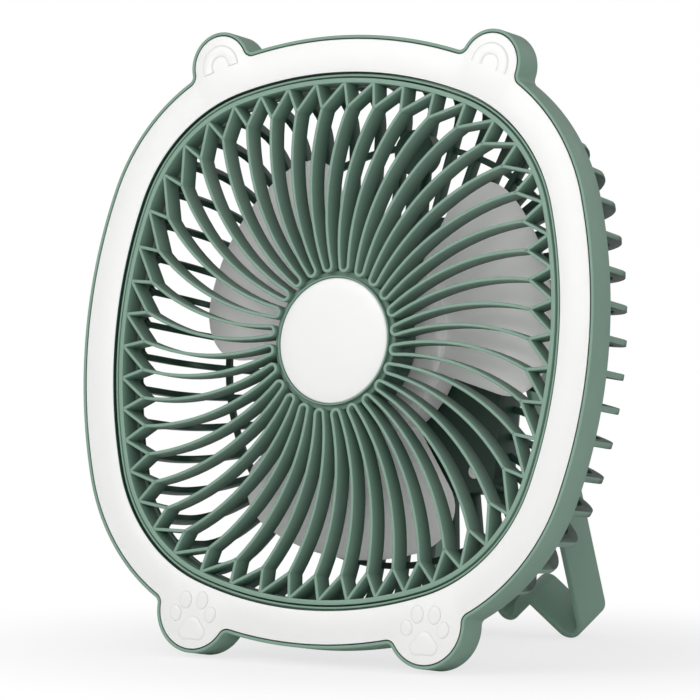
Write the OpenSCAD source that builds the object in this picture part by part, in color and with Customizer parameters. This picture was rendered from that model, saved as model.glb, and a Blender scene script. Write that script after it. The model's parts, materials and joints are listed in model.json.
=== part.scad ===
// Portable camping fan: ring light, spiral front grille, three-blade impeller,
// slotted rear housing with a battery box, and a folding stand.
//
// The modules work in the face frame: x to the right, y up, z out of the face towards
// the user, and depths are counted backwards from the front of the light panel.
// placed() leans the fan back on its stand, with the floor at z = 0.

/* [Face] */
// Width of the light panel between its ears
face_w = 202.8; // [194:0.2:212]
// Height of the light panel without ears and paws
face_h = 208.4; // [200:0.2:218]
// Radius of the left and right sides
side_r = 176.5; // [165:0.5:190]
// Radius of the top and bottom sides
top_r = 158.6; // [150:0.2:175]
// Radius of the corners
corner_r = 69.1; // [62:0.1:76]
// Width of the lit ring
panel_band = 11; // [9.5:0.1:12.5]
// Thickness of the light panel
panel_t = 2; // [1.4:0.1:2.4]
// Wall of the green rim around the panel
rim_t = 1.6; // [1.2:0.1:2.4]
// Depth of the rim and of the ears and paws
rim_depth = 12; // [11:0.5:14]
// Gap between fixed parts that fit in each other
fit_gap = 0.15; // [0.1:0.01:0.25]

/* [Ears and paws] */
// Distance of each ear from the middle
ear_x = 54.9; // [50:0.1:60]
// Height of an ear's middle above the panel's outline
ear_lift = 1.06; // [0:0.02:3]
// Radius of an ear's panel
ear_r = 10.4; // [9:0.1:12]
// Distance of each paw from the middle
paw_x = 47.1; // [43:0.1:52]
// Height of a paw's middle above the panel's outline below it
paw_lift = 2.14; // [0:0.02:4]
// Radius of a paw's panel
paw_r = 13.7; // [12:0.1:15]
// Radius of the hollow where a lobe meets the ring
lobe_blend = 4; // [3:0.1:5]
// Height of the raised paw prints and ear arches
emboss = 0.5; // [0.3:0.1:0.8]

/* [Ring light] */
// Depth of the tray behind the panel
tray_depth = 7; // [6:0.1:8]
// Thickness of the tray and of the ledge that carries the grille
tray_t = 1.6; // [1.2:0.1:2]
// Wall of the panel's two skirts
skirt_t = 1.2; // [0.8:0.1:1.6]
// Thickness of the circuit boards
board_t = 1.6; // [1:0.1:1.8]
// Width of the ring-shaped circuit board
led_board_w = 5.8; // [4:0.1:6]
// Number of light-emitting diodes
led_count = 48; // [24:4:72]
// Side of one diode
led_w = 2.8; // [2:0.1:3.2]
// Height of one diode
led_h = 0.8; // [0.5:0.1:1.2]

/* [Front grille] */
// Thickness of the lip inside the lit ring
lip_t = 1.1; // [0.8:0.1:1.4]
// Gap between that lip and the grille's ring
grille_gap = 0.85; // [0.5:0.05:1.1]
// Thickness of the grille's outer ring
ring_t = 2.1; // [1.6:0.1:2.6]
// Distance from the ring to the forks where the ribs split
fork_gap = 8.1; // [6.5:0.1:9.5]
// Number of spiral ribs
rib_count = 48; // [40:4:52]
// Width of a rib
rib_w = 1.15; // [0.95:0.05:1.5]
// Depth of the grille's front behind the panel
grille_front = 1.4; // [1:0.1:2]
// Radius of the arc that each rib follows
rib_arc_r = 83.7; // [80:0.1:88]
// Distance of that arc's centre from the hub
rib_arc_centre = 92.75; // [90:0.05:97]
// Direction of the first rib's arc centre in degrees
rib_start = -56.31; // [-64:0.01:-50]
// Radius at which two ribs join in a loop
loop_r = 25.8; // [25.3:0.1:27]
// Lead of a short strut's foot on the ring in degrees
strut_lead = 1.15; // [0.6:0.05:2]

/* [Hub] */
// Radius of the white hub cap
cap_r = 21.7; // [19:0.1:22]
// Depth of the cap's face behind the panel
cap_front = 1.7; // [1.2:0.1:2.2]
// Thickness of the cap
cap_t = 1.5; // [1:0.1:2]
// Wall of the thin ring around the cap
cap_ring_t = 0.6; // [0.4:0.1:0.9]
// Radius of the cup that holds the ribs
cup_r = 24.3; // [24:0.1:25]
// Wall of the cup
cup_t = 2.4; // [1.6:0.1:3]
// Depth of the cup's rear edge
cup_back = 17; // [14:0.5:18]

/* [Impeller] */
// Radius of the blade tips
fan_r = 73.5; // [66:0.5:75]
// Number of blades
blade_count = 3; // [2:1:4]
// Angle that one blade covers
blade_span = 80; // [50:1:84]
// Direction of the first blade
blade_start = 25; // [0:1:119]
// Thickness of a blade
blade_t = 1.8; // [1.2:0.1:2.4]
// Rise of a blade from its front edge to its rear edge
blade_rise = 11; // [8:0.5:11.5]
// Depth of the middle of the blades
fan_mid = 28; // [27.5:0.1:28.5]
// Radius of the impeller's hub
fan_hub_r = 31.5; // [28:0.5:33]
// Depth of the hub's front
fan_hub_front = 22.5; // [21:0.1:23]
// Depth of the hub's rear edge
fan_hub_back = 34.5; // [33:0.1:35]

/* [Motor] */
// Radius of the motor can
motor_r = 16; // [14:0.5:17]
// Length of the motor can
motor_len = 17.5; // [15:0.5:18]
// Radius of the motor shaft
shaft_r = 1.5; // [1:0.1:2]
// Running clearance of the shaft in its bushes
shaft_clear = 0.04; // [0.02:0.01:0.08]
// Outer radius of the bushes
bush_r = 3.5; // [3:0.1:4.5]
// Length of a bush
bush_len = 4; // [3:0.5:5]
// Distance of the motor screws from the shaft
motor_screw_r = 11; // [9:0.5:12]

/* [Rear housing] */
// Depth of the flat back
back_depth = 51; // [49:0.5:53]
// Thickness of the housing's walls
wall = 2.2; // [1.8:0.1:2.6]
// Depth at which the side wall ends and the bars start
band_back = 25; // [23:0.5:29]
// Step from the rim's outside to the housing's side wall
rear_step = 1.7; // [1.2:0.1:2.4]
// Draft of the side wall over its depth
wall_draft = 3.1; // [2:0.1:4]
// Draft of the bars over the whole depth
rear_draft = 3; // [1:0.5:5]
// Fall of the bars' rounded shoulder
rear_round = 16; // [13:0.5:18]
// Number of bars
bar_count = 52; // [40:4:60]
// Thickness of a bar
bar_t = 2.2; // [1.6:0.1:2.8]
// Height of a bar
bar_h = 4.5; // [3.5:0.1:5]
// Direction of the first bar in degrees
bar_start = 4.35; // [0:0.05:6.9]
// Slant of the bars to the radius in degrees
bar_slant = 5; // [0:0.5:8]
// Radius of the ring that ties the bars
tie_r = 74; // [70:0.5:78]
// Width of that ring
tie_t = 2.2; // [1.6:0.1:2.8]
// Depth of that ring
tie_h = 3; // [2:0.1:3.5]
// Height of the screw boss above the middle
boss_y = 71.5; // [69:0.5:73]
// Radius of that boss
boss_outer = 8; // [6:0.5:9]
// Depth of that boss
boss_h = 7; // [5:0.5:8]
// Width of the arm that carries it
boss_arm = 9; // [6:0.5:12]

/* [Battery box] */
// Half width of the square motor box
box_half = 47.5; // [44:0.5:49]
// Depth of the motor box's front plate
box_front = 37; // [36.5:0.1:38]
// Thickness of the motor plate
plate_t = 2.5; // [2:0.1:3]
// Half width of the battery box behind it
pod_half = 27; // [26:0.1:27.2]
// Half height of the battery box
pod_tall = 44; // [42:0.5:46]
// Depth of the battery box's back
pod_back = 86; // [85.5:0.1:90]
// Wall of the battery box
pod_wall = 2; // [1.6:0.1:2.4]
// Radius of a battery cell
cell_r = 9.2; // [9:0.05:9.3]
// Length of a battery cell
cell_len = 65; // [60:0.5:66]

/* [Controls] */
// Radius of a button
button_r = 5.4; // [4:0.1:6]
// Travel of a button
button_travel = 0.4; // [0.3:0.05:0.5]
// Gap around a button
button_gap = 0.3; // [0.25:0.05:0.4]
// Distance of the buttons from the middle
button_x = 9.5; // [8:0.5:11]
// Height of the buttons above the middle
button_y = 15; // [12:0.5:18]
// Width of the charging socket
usb_w = 9; // [8.6:0.1:9.4]
// Height of the charging socket
usb_h = 3.2; // [3:0.1:3.6]
// Number of charge lights
light_count = 4; // [3:1:5]
// Radius of a charge light
light_r = 1; // [0.8:0.1:1.4]

/* [Stand] */
// Width of the strap
strap_w = 19.3; // [15:0.1:21]
// Thickness of the strap
strap_t = 2.3; // [1.8:0.1:2.3]
// Half width of the stand outside
stand_half = 30; // [29.8:0.1:32]
// Distance from the pivot to the feet
stand_len = 139.5; // [132:0.5:142]
// Angle between the opened stand and the back
stand_angle = 31.5; // [26:0.5:36]
// Height of the pivot above the middle
pivot_y = 32.5; // [30:0.5:33]
// Depth of the pivot
pivot_depth = 74; // [73:0.5:75]
// Radius of a foot's bend
foot_r = 4.8; // [4:0.1:6]
// Rise from the feet to the crests beside the hook seat
crest_rise = 13.6; // [12:0.1:16]
// Distance of a crest from the middle
crest_x = 8; // [7.8:0.1:9.5]
// Radius of a crest
crest_r = 3.6; // [3:0.1:3.9]
// Rise from the feet to the hook seat
seat_rise = 5.8; // [4:0.1:8]
// Radius of the hook seat
seat_r = 3.3; // [2.6:0.1:3.6]
// Radius of a pivot pin
pin_r = 2.5; // [2:0.1:3]
// Running clearance of the stand on its pins
pin_clear = 0.06; // [0.03:0.01:0.1]

/* [Screws] */
// Radius of a screw's shank
screw_r = 1.25; // [1:0.05:1.5]
// Radius of a screw's head
screw_head_r = 2.5; // [2:0.1:2.8]
// Height of a screw's head
screw_head_h = 1.5; // [1:0.1:1.8]
// Clearance of a screw in the part that it fastens to
screw_clear = 0.05; // [0.02:0.01:0.1]

/* [Hidden] */

green = "#5d8a74";
dark_green = "#3f6353";
white = "#f4f4f2";
grey = "#cfc9c8";
steel = "#b8bcc0";
black = "#2b2d2e";

step_deg = 3;                                   // polar step of the rounded-square outlines
round_fn = 64;

// Offsets of the rings from the panel's outer edge, inwards negative
panel_in = -panel_band;
lip_out = panel_in - 2 * fit_gap;
lip_in = lip_out - lip_t;
ring_out = lip_in - grille_gap;
ring_in = ring_out - ring_t;
fork_off = ring_in - fork_gap;

grille_back = tray_depth + tray_t;              // the grille stands on the tray's ledge
flange_front = rim_depth - tray_t;              // the rear housing's flange lies in the rim
cup_front = cap_front + cap_t;
hole_r = screw_r + screw_clear;
boss_r = screw_r + 1.8;
button_seat = 0.1;                              // gap between a button's flange and the cover
board_back = pod_back - pod_wall - 2.6;         // rear face of the control board
board_front = board_back - board_t;
switch_top = board_back + 1.35;
flange_r = button_r + 1;
cell_depth = board_front - 0.5 - cell_r;
cell_x = cell_r + 0.3;
motor_front = box_front + plate_t;
motor_back = motor_front + motor_len;
box_back = back_depth + 0.6;
box_corner = 6;
pod_corner = 4;
plate_screw_x = box_half - 7;
pod_screw_x = pod_half - 5;
pod_screw_y = pod_tall - 5;
post_len = 9;                                   // length of the battery box's screw posts
cover_sink = pod_wall / 2;                      // depth of the cover screws' heads in the cover
plate_bite = 6;                                 // thread of a plate screw in the housing's post
motor_bite = 4;                                 // thread of a motor screw in the can
board_tall = 2 * (pod_tall - 11);
switch_w = 6;
pin_depth = 6;                                  // depth of a pivot pin in the box's wall and boss
pin_head_t = 1.6;
pin_collar = 2.5;                               // head of a pin and boss around it, beyond its radius
washer_rim = 5;                                 // rim of a pivot washer, beyond the pin's radius
leg_in = stand_half - strap_t;                  // inner faces of the stand's legs
lobe_screw_out = 4.5;                           // screws in the lobes, out from the panel's edge

// Middles of the ears above and of the paws below the middle of the face
ear_y = height_at(ear_x) + ear_lift;
paw_y = height_at(paw_x) - paw_lift;

// Resting places: the rear edges of the paws and the front edges of the stand's feet
paw_low = paw_y + paw_r + rim_t;
foot_down = stand_len + strap_t / 2;
foot_y = pivot_y - foot_down * cos(stand_angle) - strap_w / 2 * sin(stand_angle);
foot_depth = pivot_depth + foot_down * sin(stand_angle) - strap_w / 2 * cos(stand_angle);
lean = atan2(foot_y + paw_low, foot_depth - rim_depth);
floor_z = -rim_depth * sin(lean) - paw_low * cos(lean);
front_y = -paw_low * sin(lean);
heel_y = pivot_y - foot_down * cos(stand_angle) + strap_w / 2 * sin(stand_angle);
heel_depth = pivot_depth + foot_down * sin(stand_angle) + strap_w / 2 * cos(stand_angle);
rear_y = heel_depth * cos(lean) + heel_y * sin(lean);

module placed() translate([0, -(front_y + rear_y) / 2, -floor_z]) rotate([90 - lean, 0, 0]) children();

// A flat piece between two depths
module slab(from, to) translate([0, 0, -to]) linear_extrude(to - from) children();

function unit(v) = v / norm(v);
function left(v) = [-v.y, v.x];
function dir(a) = [cos(a), sin(a)];
function bearing(v) = atan2(v.y, v.x);
function arc(c, r, a, b, n) = [for (i = [0:n]) c + r * dir(a + (b - a) * i / n)];
function mirrored(p) = [for (i = [len(p) - 1:-1:0]) [-p[i].x, p[i].y]];

// Corner of an offset path: v is the corner, a and b the directions before and after it
function mitre(v, a, b, h) = v + h * (left(a) + left(b)) / (1 + left(a) * left(b));
function side(p, h) = [for (i = [0:len(p) - 1])
    let (a = unit(p[max(i, 1)] - p[max(i, 1) - 1]), j = min(i, len(p) - 2), b = unit(p[j + 1] - p[j]))
    mitre(p[i], a, b, h)];
function reversed(p) = [for (i = [len(p) - 1:-1:0]) p[i]];
function ribbon(p, t) = concat(side(p, t / 2), reversed(side(p, -t / 2)));
function rect_points(w, h, r) = concat(
    arc([w / 2 - r, h / 2 - r], r, 0, 90, 6), arc([r - w / 2, h / 2 - r], r, 90, 180, 6),
    arc([r - w / 2, r - h / 2], r, 180, 270, 6), arc([w / 2 - r, r - h / 2], r, 270, 360, 6));
module rounded_rect(w, h, r) polygon(rect_points(w, h, r));

// One polygon from an outer loop and its holes
module loops(l) {
    starts = [for (i = 0, s = 0; i < len(l); s = s + len(l[i]), i = i + 1) s];
    polygon([for (p = l) each p], [for (i = [0:len(l) - 1]) [for (j = [0:len(l[i]) - 1]) starts[i] + j]]);
}

// Rounded square made of side, top and corner arcs that meet in a tangent.
// quarter() gives [side centre, radius, top centre, radius, corner centre, radius,
// polar angle where the side ends, polar angle where the top starts] at an offset.
function quarter(off) = let (
    a = [face_w / 2 - side_r, 0], b = [0, face_h / 2 - top_r],
    ra = side_r - corner_r, rb = top_r - corner_r, d = norm(b - a),
    s = (ra * ra - rb * rb + d * d) / (2 * d), u = (b - a) / d,
    c = a + s * u + sqrt(ra * ra - s * s) * left(u),
    ta = a + unit(c - a) * (side_r + off), tb = b + unit(c - b) * (top_r + off))
    [a, side_r + off, b, top_r + off, c, corner_r + off, bearing(ta), bearing(tb)];
function arc_of(q, t) = let (f = atan2(abs(sin(t)), abs(cos(t))))
    f < q[6] ? [q[0], q[1]] : f < q[7] ? [q[4], q[5]] : [q[2], q[3]];
function radius_at(q, t) = let (a = arc_of(q, t), b = a[0] * [abs(cos(t)), abs(sin(t))])
    b + sqrt(b * b - a[0] * a[0] + a[1] * a[1]);
function face_point(q, t) = radius_at(q, t) * dir(t);
// Height of the panel's outline at the distance x from the middle, on a corner or on the top arc
function height_at(x) = let (q = quarter(0), join = q[2] + q[3] * unit(q[4] - q[2]),
    c = x < join.x ? q[2] : q[4], r = x < join.x ? q[3] : q[5]) c.y + sqrt(r * r - (x - c.x) * (x - c.x));
function span(q, t0, t1) = let (n = max(1, round((t1 - t0) / step_deg)))
    [for (i = [0:n]) face_point(q, t0 + (t1 - t0) * i / n)];
// Whole outline, stepped by the angle of each arc so that all offsets have parallel edges
function tail(p) = [for (i = [1:len(p) - 1]) p[i]];
function outline(off) = let (q = quarter(off), s = bearing(q[4] - q[0]), t = bearing(q[4] - q[2]),
    ns = round(s / step_deg), nc = round((t - s) / step_deg), nt = round((90 - t) / step_deg),
    first = concat(arc(q[0], q[1], 0, s, ns), tail(arc(q[4], q[5], s, t, nc)),
        tail(arc(q[2], q[3], t, 90, nt))),
    upper = concat(first, tail(mirrored(first))))
    concat(upper, [for (i = [1:len(upper) - 2]) -upper[i]]);

// Where the hollow beside a lobe has its centre: on the outline moved out by its radius
blend_line = quarter(lobe_blend);
function blend_angle(c, r, near, far, n = 24) = let (m = (near + far) / 2)
    n == 0 ? m : norm(face_point(blend_line, m) - c) < r + lobe_blend
        ? blend_angle(c, r, m, far, n - 1) : blend_angle(c, r, near, m, n - 1);
// Polar angle at which the hollow with the centre f touches the outline
function touch_angle(f) = let (a = arc_of(blend_line, bearing(f)), s = [sign(f.x), sign(f.y)],
    o = [a[0].x * s.x, a[0].y * s.y]) bearing(o + unit(f - o) * (a[1] - lobe_blend));
// The right ear or paw as [outline angle before, outline angle after, points] at an offset
function lobe(c, r, off) = let (
    t = bearing(c),
    f0 = face_point(blend_line, blend_angle(c, r, t, t - 30)),
    f1 = face_point(blend_line, blend_angle(c, r, t, t + 30)),
    t0 = touch_angle(f0), t1 = touch_angle(f1), hollow = lobe_blend - off,
    a0 = bearing(c - f0), a1 = bearing(c - f1),
    b0 = t + 180 + turn(bearing(face_point(quarter(0), t0) - f0) - t - 180),
    b1 = t + 180 + turn(bearing(face_point(quarter(0), t1) - f1) - t - 180),
    e0 = t + turn(a0 + 180 - t), e1 = t + turn(a1 + 180 - t))
    [t0, t1, concat(arc(f0, hollow, b0, b0 + turn(a0 - b0), 4), arc(c, r + off, e0, e1, 20),
        arc(f1, hollow, a1, a1 + turn(b1 - a1), 4))];
// An angle brought between -180 and 180
function turn(a) = a - 360 * round(a / 360);

function lobed(off) = let (q = quarter(off),
    ear = lobe([ear_x, ear_y], ear_r, off), paw = lobe([paw_x, -paw_y], paw_r, off),
    right = concat(paw[2], span(q, paw[1], ear[0]), ear[2]))
    concat(right, span(q, ear[1], 180 - ear[1]), mirrored(right), span(q, 180 - paw[0], 360 + paw[0]));

module ring(outer, inner) difference() { polygon(outline(outer)); polygon(outline(inner)); }

// ---------------------------------------------------------------- front

screw_places = [for (c = [[ear_x, ear_y], [paw_x, -paw_y]], m = [-1, 1])
    let (p = face_point(quarter(lobe_screw_out), bearing(c))) [m * p.x, p.y]];

module front_bezel() color(green) placed() difference() {
    union() {
        slab(0, rim_depth) difference() { polygon(lobed(rim_t)); polygon(lobed(fit_gap)); }
        slab(tray_depth, grille_back) difference() { polygon(lobed(rim_t / 2)); polygon(outline(lip_in)); }
        slab(0, flange_front) ring(lip_out, lip_in);
        slab(grille_back, flange_front) ring(lip_out, ring_in);
        for (p = screw_places) translate(p)
            slab(grille_back - 0.4, flange_front) circle(boss_r, $fn = round_fn);
    }
    for (p = screw_places) translate(p) slab(tray_depth - 1, rim_depth) circle(hole_r, $fn = round_fn);
}

// Raised arch inside an ear, leaning outwards
arch_r = ear_r - 3;
arch_t = 4.3;
module ear_arch() translate([ear_x, ear_y]) rotate(-20) polygon(concat(
    [[arch_r, -1.5]], arc([0, 0], arch_r, 0, 180, 16), [[-arch_r, -1.5], [arch_t - arch_r, -1.5]],
    arc([0, -1], arch_r - arch_t, 180, 0, 10), [[arch_r - arch_t, -1.5]]));

// Paw print: four toes over a pad with two lobes
function ellipse(c, rx, ry, a) = [for (i = [0:23])
    c + rx * cos(i * 15) * dir(a) + ry * sin(i * 15) * left(dir(a))];
module paw_print() translate([paw_x, -paw_y]) {
    polygon(ellipse([-7.2, -1.7], 2.4, 2.9, 12));
    polygon(ellipse([-3.4, 3.1], 2.6, 3.2, 4));
    polygon(ellipse([3.4, 3.1], 2.6, 3.2, -4));
    polygon(ellipse([7.2, -1.7], 2.4, 2.9, -12));
    polygon(concat(arc([0, -6.4], 4, 25, 155, 10), arc([-2.75, -7.9], 2.9, 150, 290, 8),
        [[0, -9.6]], arc([2.75, -7.9], 2.9, -110, 30, 8)));
}

module light_panel() color(white) placed() {
    slab(0, panel_t) difference() { polygon(lobed(0)); polygon(outline(panel_in)); }
    slab(panel_t - 0.2, tray_depth) ring(-fit_gap, -fit_gap - skirt_t);
    slab(panel_t - 0.2, tray_depth) ring(panel_in + skirt_t, panel_in);
    slab(-emboss, 0.2) for (m = [0, 1]) mirror([m, 0]) { ear_arch(); paw_print(); }
}

led_line = quarter(-panel_band / 2);
module led_board() color("#e9e6dc") placed() slab(tray_depth - board_t, tray_depth)
    ring((led_board_w - panel_band) / 2, -(led_board_w + panel_band) / 2);

module led_chips() color("#f3d98a") placed() for (i = [0:led_count - 1])
    let (t = (i + 0.5) * 360 / led_count)
    translate(face_point(led_line, t)) rotate(t)
        slab(tray_depth - board_t - led_h, tray_depth - board_t) square(led_w, center = true);

// ---------------------------------------------------------------- front grille

rib_step = 360 / rib_count;
fork_line = quarter(fork_off);
foot_line = quarter(ring_in);
function arc_centre(k) = rib_arc_centre * dir(rib_start + k * rib_step);
// Point of rib k, whose edge has the arc radius a, at the distance r from the hub
function rib_point(k, a, r) = r * dir(rib_start + k * rib_step
    + acos((r * r + rib_arc_centre * rib_arc_centre - a * a) / (2 * r * rib_arc_centre)));
function fork_r(k, lo, hi, n = 22) = let (m = (lo + hi) / 2, p = rib_point(k, rib_arc_r, m))
    n == 0 ? m : m < radius_at(fork_line, bearing(p)) ? fork_r(k, m, hi, n - 1) : fork_r(k, lo, m, n - 1);
fork_radii = [for (k = [0:rib_count]) fork_r(k, 40, 120)];
forks = [for (k = [0:rib_count]) rib_point(k, rib_arc_r, fork_radii[k])];
feet = [for (k = [0:rib_count]) face_point(foot_line, bearing(forks[k]) + strut_lead)];
// Outward direction of rib k at the point p
function along(k, p) = -left(unit(p - arc_centre(k)));
function edge(k, a) = [for (i = [0:8]) rib_point(k, a, loop_r + (fork_radii[k] - 2.2 - loop_r) * i / 8)];

// Outer end of the opening between ribs k and k + 1: two forks and the strut foot between them
function cell_end(k) = let (u = unit(feet[k] - forks[k]), v = unit(forks[k + 1] - feet[k]), h = rib_w / 2)
    [mitre(forks[k], along(k, forks[k]), u, h), mitre(feet[k], u, v, h),
     mitre(forks[k + 1], v, -along(k + 1, forks[k + 1]), h)];
function cell_sides(k) = concat(edge(k, rib_arc_r + rib_w / 2), cell_end(k),
    reversed(edge(k + 1, rib_arc_r - rib_w / 2)));
// Round end of the loop that joins ribs k and k + 1, at the distance h from their middle lines
function loop_end(k, h) = let (p = rib_point(k, rib_arc_r, loop_r), q = rib_point(k + 1, rib_arc_r, loop_r),
    e = unit(along(k, p) + along(k + 1, q)), gap = abs((q - p) * left(e)) / 2)
    [for (i = [1:7]) (p + q) / 2 + (gap + h) * dir(bearing(e) + 90 + i * 22.5)];
// Triangle between the two struts of fork k and the ring
function triangle(k) = let (a = feet[k], b = k == 0 ? feet[rib_count - 1] : feet[k - 1], f = forks[k],
    u = unit(f - a), v = unit(b - f), t = unit(b - a), h = rib_w / 2)
    [mitre(f, u, v, h), b - t * h / abs(t * left(v)),
     face_point(foot_line, bearing(a + b)), a + t * h / abs(t * left(u))];

module front_grille() color(green) placed() {
    slab(grille_front, grille_back) loops(concat([outline(ring_out)],
        [for (k = [0:rib_count - 1]) triangle(k)],
        [for (k = [0:2:rib_count - 2]) concat(cell_sides(k), loop_end(k, -rib_w / 2))],
        [[for (k = [1:2:rib_count - 1])
            each concat(cell_sides(k), reversed(loop_end(k + 1, rib_w / 2)))]]));
    rotate_extrude($fn = 96) polygon([[0, -cup_front], [cap_r + fit_gap, -cup_front],
        [cap_r + fit_gap, -cap_front], [cap_r + fit_gap + cap_ring_t, -cap_front],
        [cap_r + fit_gap + cap_ring_t, -cup_front], [cup_r, -cup_front], [cup_r, -cup_back],
        [cup_r - cup_t, -cup_back], [cup_r - cup_t, -cup_front - 2], [0, -cup_front - 2]]);
}

module hub_cap() color(white) placed() rotate_extrude($fn = 96) polygon([[0, -cap_front],
    [cap_r - 0.5, -cap_front], [cap_r, -cap_front - 0.5], [cap_r, -cup_front], [0, -cup_front]]);

// ---------------------------------------------------------------- impeller and motor

// Point of a blade: u from the hub to the tip, v across the blade, side -1 front or 1 rear
function blade_point(u, v, s) = let (
    r = fan_hub_r - 1 + (fan_r - fan_hub_r + 1) * u, tip = max(0, (u - 0.62) / 0.38),
    half = blade_span / 2 * (1 - 0.42 * (1 - sqrt(1 - tip * tip))),
    a = half * (2 * v - 1))
    [r * cos(a), r * sin(a), -fan_mid - blade_rise * (0.8 + 0.2 * u) * a / blade_span - s * blade_t / 2];
blade_u = [0, 0.2, 0.4, 0.62, 0.76, 0.88, 0.96, 1];
blade_v = [for (i = [0:10]) i / 10];
nu = len(blade_u);
nv = len(blade_v);
module blade() polyhedron(
    [for (s = [1, -1], u = blade_u, v = blade_v) blade_point(u, v, s)],
    concat(
        [for (i = [0:nu - 2], j = [0:nv - 2]) let (a = i * nv + j)
            each [[a, a + nv, a + 1], [a + 1, a + nv, a + nv + 1]]],
        [for (i = [0:nu - 2], j = [0:nv - 2]) let (a = nu * nv + i * nv + j)
            each [[a, a + 1, a + nv], [a + 1, a + nv + 1, a + nv]]],
        [for (i = [0:nu - 2], e = [0, nv - 1]) let (a = i * nv + e, b = a + nu * nv)
            each e == 0 ? [[a, b, a + nv], [b, b + nv, a + nv]] : [[a, a + nv, b], [b, a + nv, b + nv]]],
        [for (j = [0:nv - 2], e = [0, (nu - 1) * nv]) let (a = e + j, b = a + nu * nv)
            each e == 0 ? [[a, a + 1, b], [b, a + 1, b + 1]] : [[a, b, a + 1], [b, b + 1, a + 1]]]));

module impeller() color(grey) placed() difference() {
    union() {
        rotate_extrude($fn = 96) polygon([[0, -fan_hub_front], [fan_hub_r - 3, -fan_hub_front],
            [fan_hub_r, -fan_hub_front - 2], [fan_hub_r, -fan_hub_back], [fan_hub_r - 2, -fan_hub_back],
            [fan_hub_r - 2, -fan_hub_front - 3], [5, -fan_hub_front - 3], [5, -fan_hub_back], [0, -fan_hub_back]]);
        for (i = [0:blade_count - 1]) rotate(blade_start + i * 360 / blade_count) blade();
    }
    slab(fan_hub_front + 2, fan_hub_back + 1) circle(shaft_r, $fn = round_fn);
}

module motor_shaft() color(steel) placed() slab(fan_hub_front + 2, motor_back - 0.5)
    circle(shaft_r, $fn = round_fn);

module bush() difference() { circle(bush_r, $fn = round_fn); circle(shaft_r + shaft_clear, $fn = round_fn); }
module motor_bushes() color("#b08d57") placed() {
    slab(box_front, box_front + bush_len) bush();
    slab(motor_back - bush_len, motor_back) bush();
}

module motor_can() color(steel) placed() difference() {
    union() {
        slab(motor_front, motor_back) circle(motor_r, $fn = 96);
        slab(box_front, motor_front + 1) circle(bush_r + 2.5, $fn = round_fn);
    }
    slab(box_front - 1, motor_back + 1) circle(bush_r, $fn = round_fn);
    for (m = [-1, 1]) translate([m * motor_screw_r, 0]) 
        slab(motor_front - 1, motor_front + motor_bite + 1) circle(hole_r, $fn = round_fn);
}

module motor_end_cap() color(black) placed() slab(motor_back, motor_back + 2) circle(motor_r, $fn = 96);

// A pan-head screw whose head lies on the depth d, in front of it (way 1) or behind it (way -1)
module screw(d, way, len) translate([0, 0, -d]) rotate([way > 0 ? 0 : 180, 0, 0]) {
    translate([0, 0, -len]) cylinder(r = screw_r, h = len + 0.3, $fn = round_fn);
    cylinder(r = screw_head_r, h = screw_head_h, $fn = round_fn);
}

module motor_screws() color(steel) placed() for (m = [-1, 1]) translate([m * motor_screw_r, 0])
    screw(box_front, 1, plate_t + motor_bite);

corners = [[-1, -1], [-1, 1], [1, -1], [1, 1]];
module at_corner(c) translate([c.x * pod_screw_x, c.y * pod_screw_y]) children();
module motor_plate() color(dark_green) placed() slab(box_front, motor_front) difference() {
    rounded_rect(2 * box_half, 2 * box_half, box_corner);
    circle(bush_r + 2.5 + fit_gap, $fn = round_fn);
    for (m = [-1, 1]) translate([m * motor_screw_r, 0]) circle(hole_r, $fn = round_fn);
    for (c = corners) translate(plate_screw_x * c) circle(hole_r, $fn = round_fn);
}

module plate_screws() color(steel) placed() for (c = corners) translate(plate_screw_x * c)
    screw(box_front, 1, plate_t + plate_bite);

// ---------------------------------------------------------------- rear housing

// How far the bars' outside lies inside the panel's edge at the depth d
function inset(d) = let (t = (d - rim_depth) / (back_depth - rim_depth))
    rear_step + rear_draft * t + rear_round * (1 - sqrt(max(0, 1 - t * t)));

// Side wall between two rings of the outline, outside and inside: [offset, depth]
wall_front = rim_depth - tray_t / 2;
wall_rings = [[-rear_step, wall_front], [-rear_step, rim_depth], [-rear_step - wall_draft, band_back],
    [-rear_step - wall_draft - wall, band_back], [-rear_step - wall, rim_depth], [-rear_step - wall, wall_front]];
module side_wall() {
    n = len(outline(0));
    m = len(wall_rings);
    polyhedron([for (r = wall_rings, p = outline(r[0])) [p.x, p.y, -r[1]]],
        [for (j = [0:m - 1], i = [0:n - 1]) let (a = j * n, b = (j + 1) % m * n, k = (i + 1) % n)
            [a + i, a + k, b + k, b + i]]);
}

bar_step = 360 / bar_count;
bar_lap = 4;                                    // length of a bar along the side wall
function box_edge(t) = box_half / max(abs(cos(t)), abs(sin(t)));
function bar_path(t) = let (r = radius_at(quarter(0), t), start = band_back - bar_lap)
    concat([for (i = [0:8]) let (d = start + (back_depth - bar_h / 2 - start) * sin(i * 90 / 8))
        [r - inset(d + bar_h / 2 * i / 8) - bar_h / 2, -d]], [[box_edge(t) - 1, bar_h / 2 - back_depth]]);
module bar(t) rotate(t) translate([tie_r, 0]) rotate(-bar_slant) translate([-tie_r, bar_t / 2]) rotate([90, 0, 0])
    linear_extrude(bar_t) polygon(ribbon(bar_path(t), bar_h));

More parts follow.
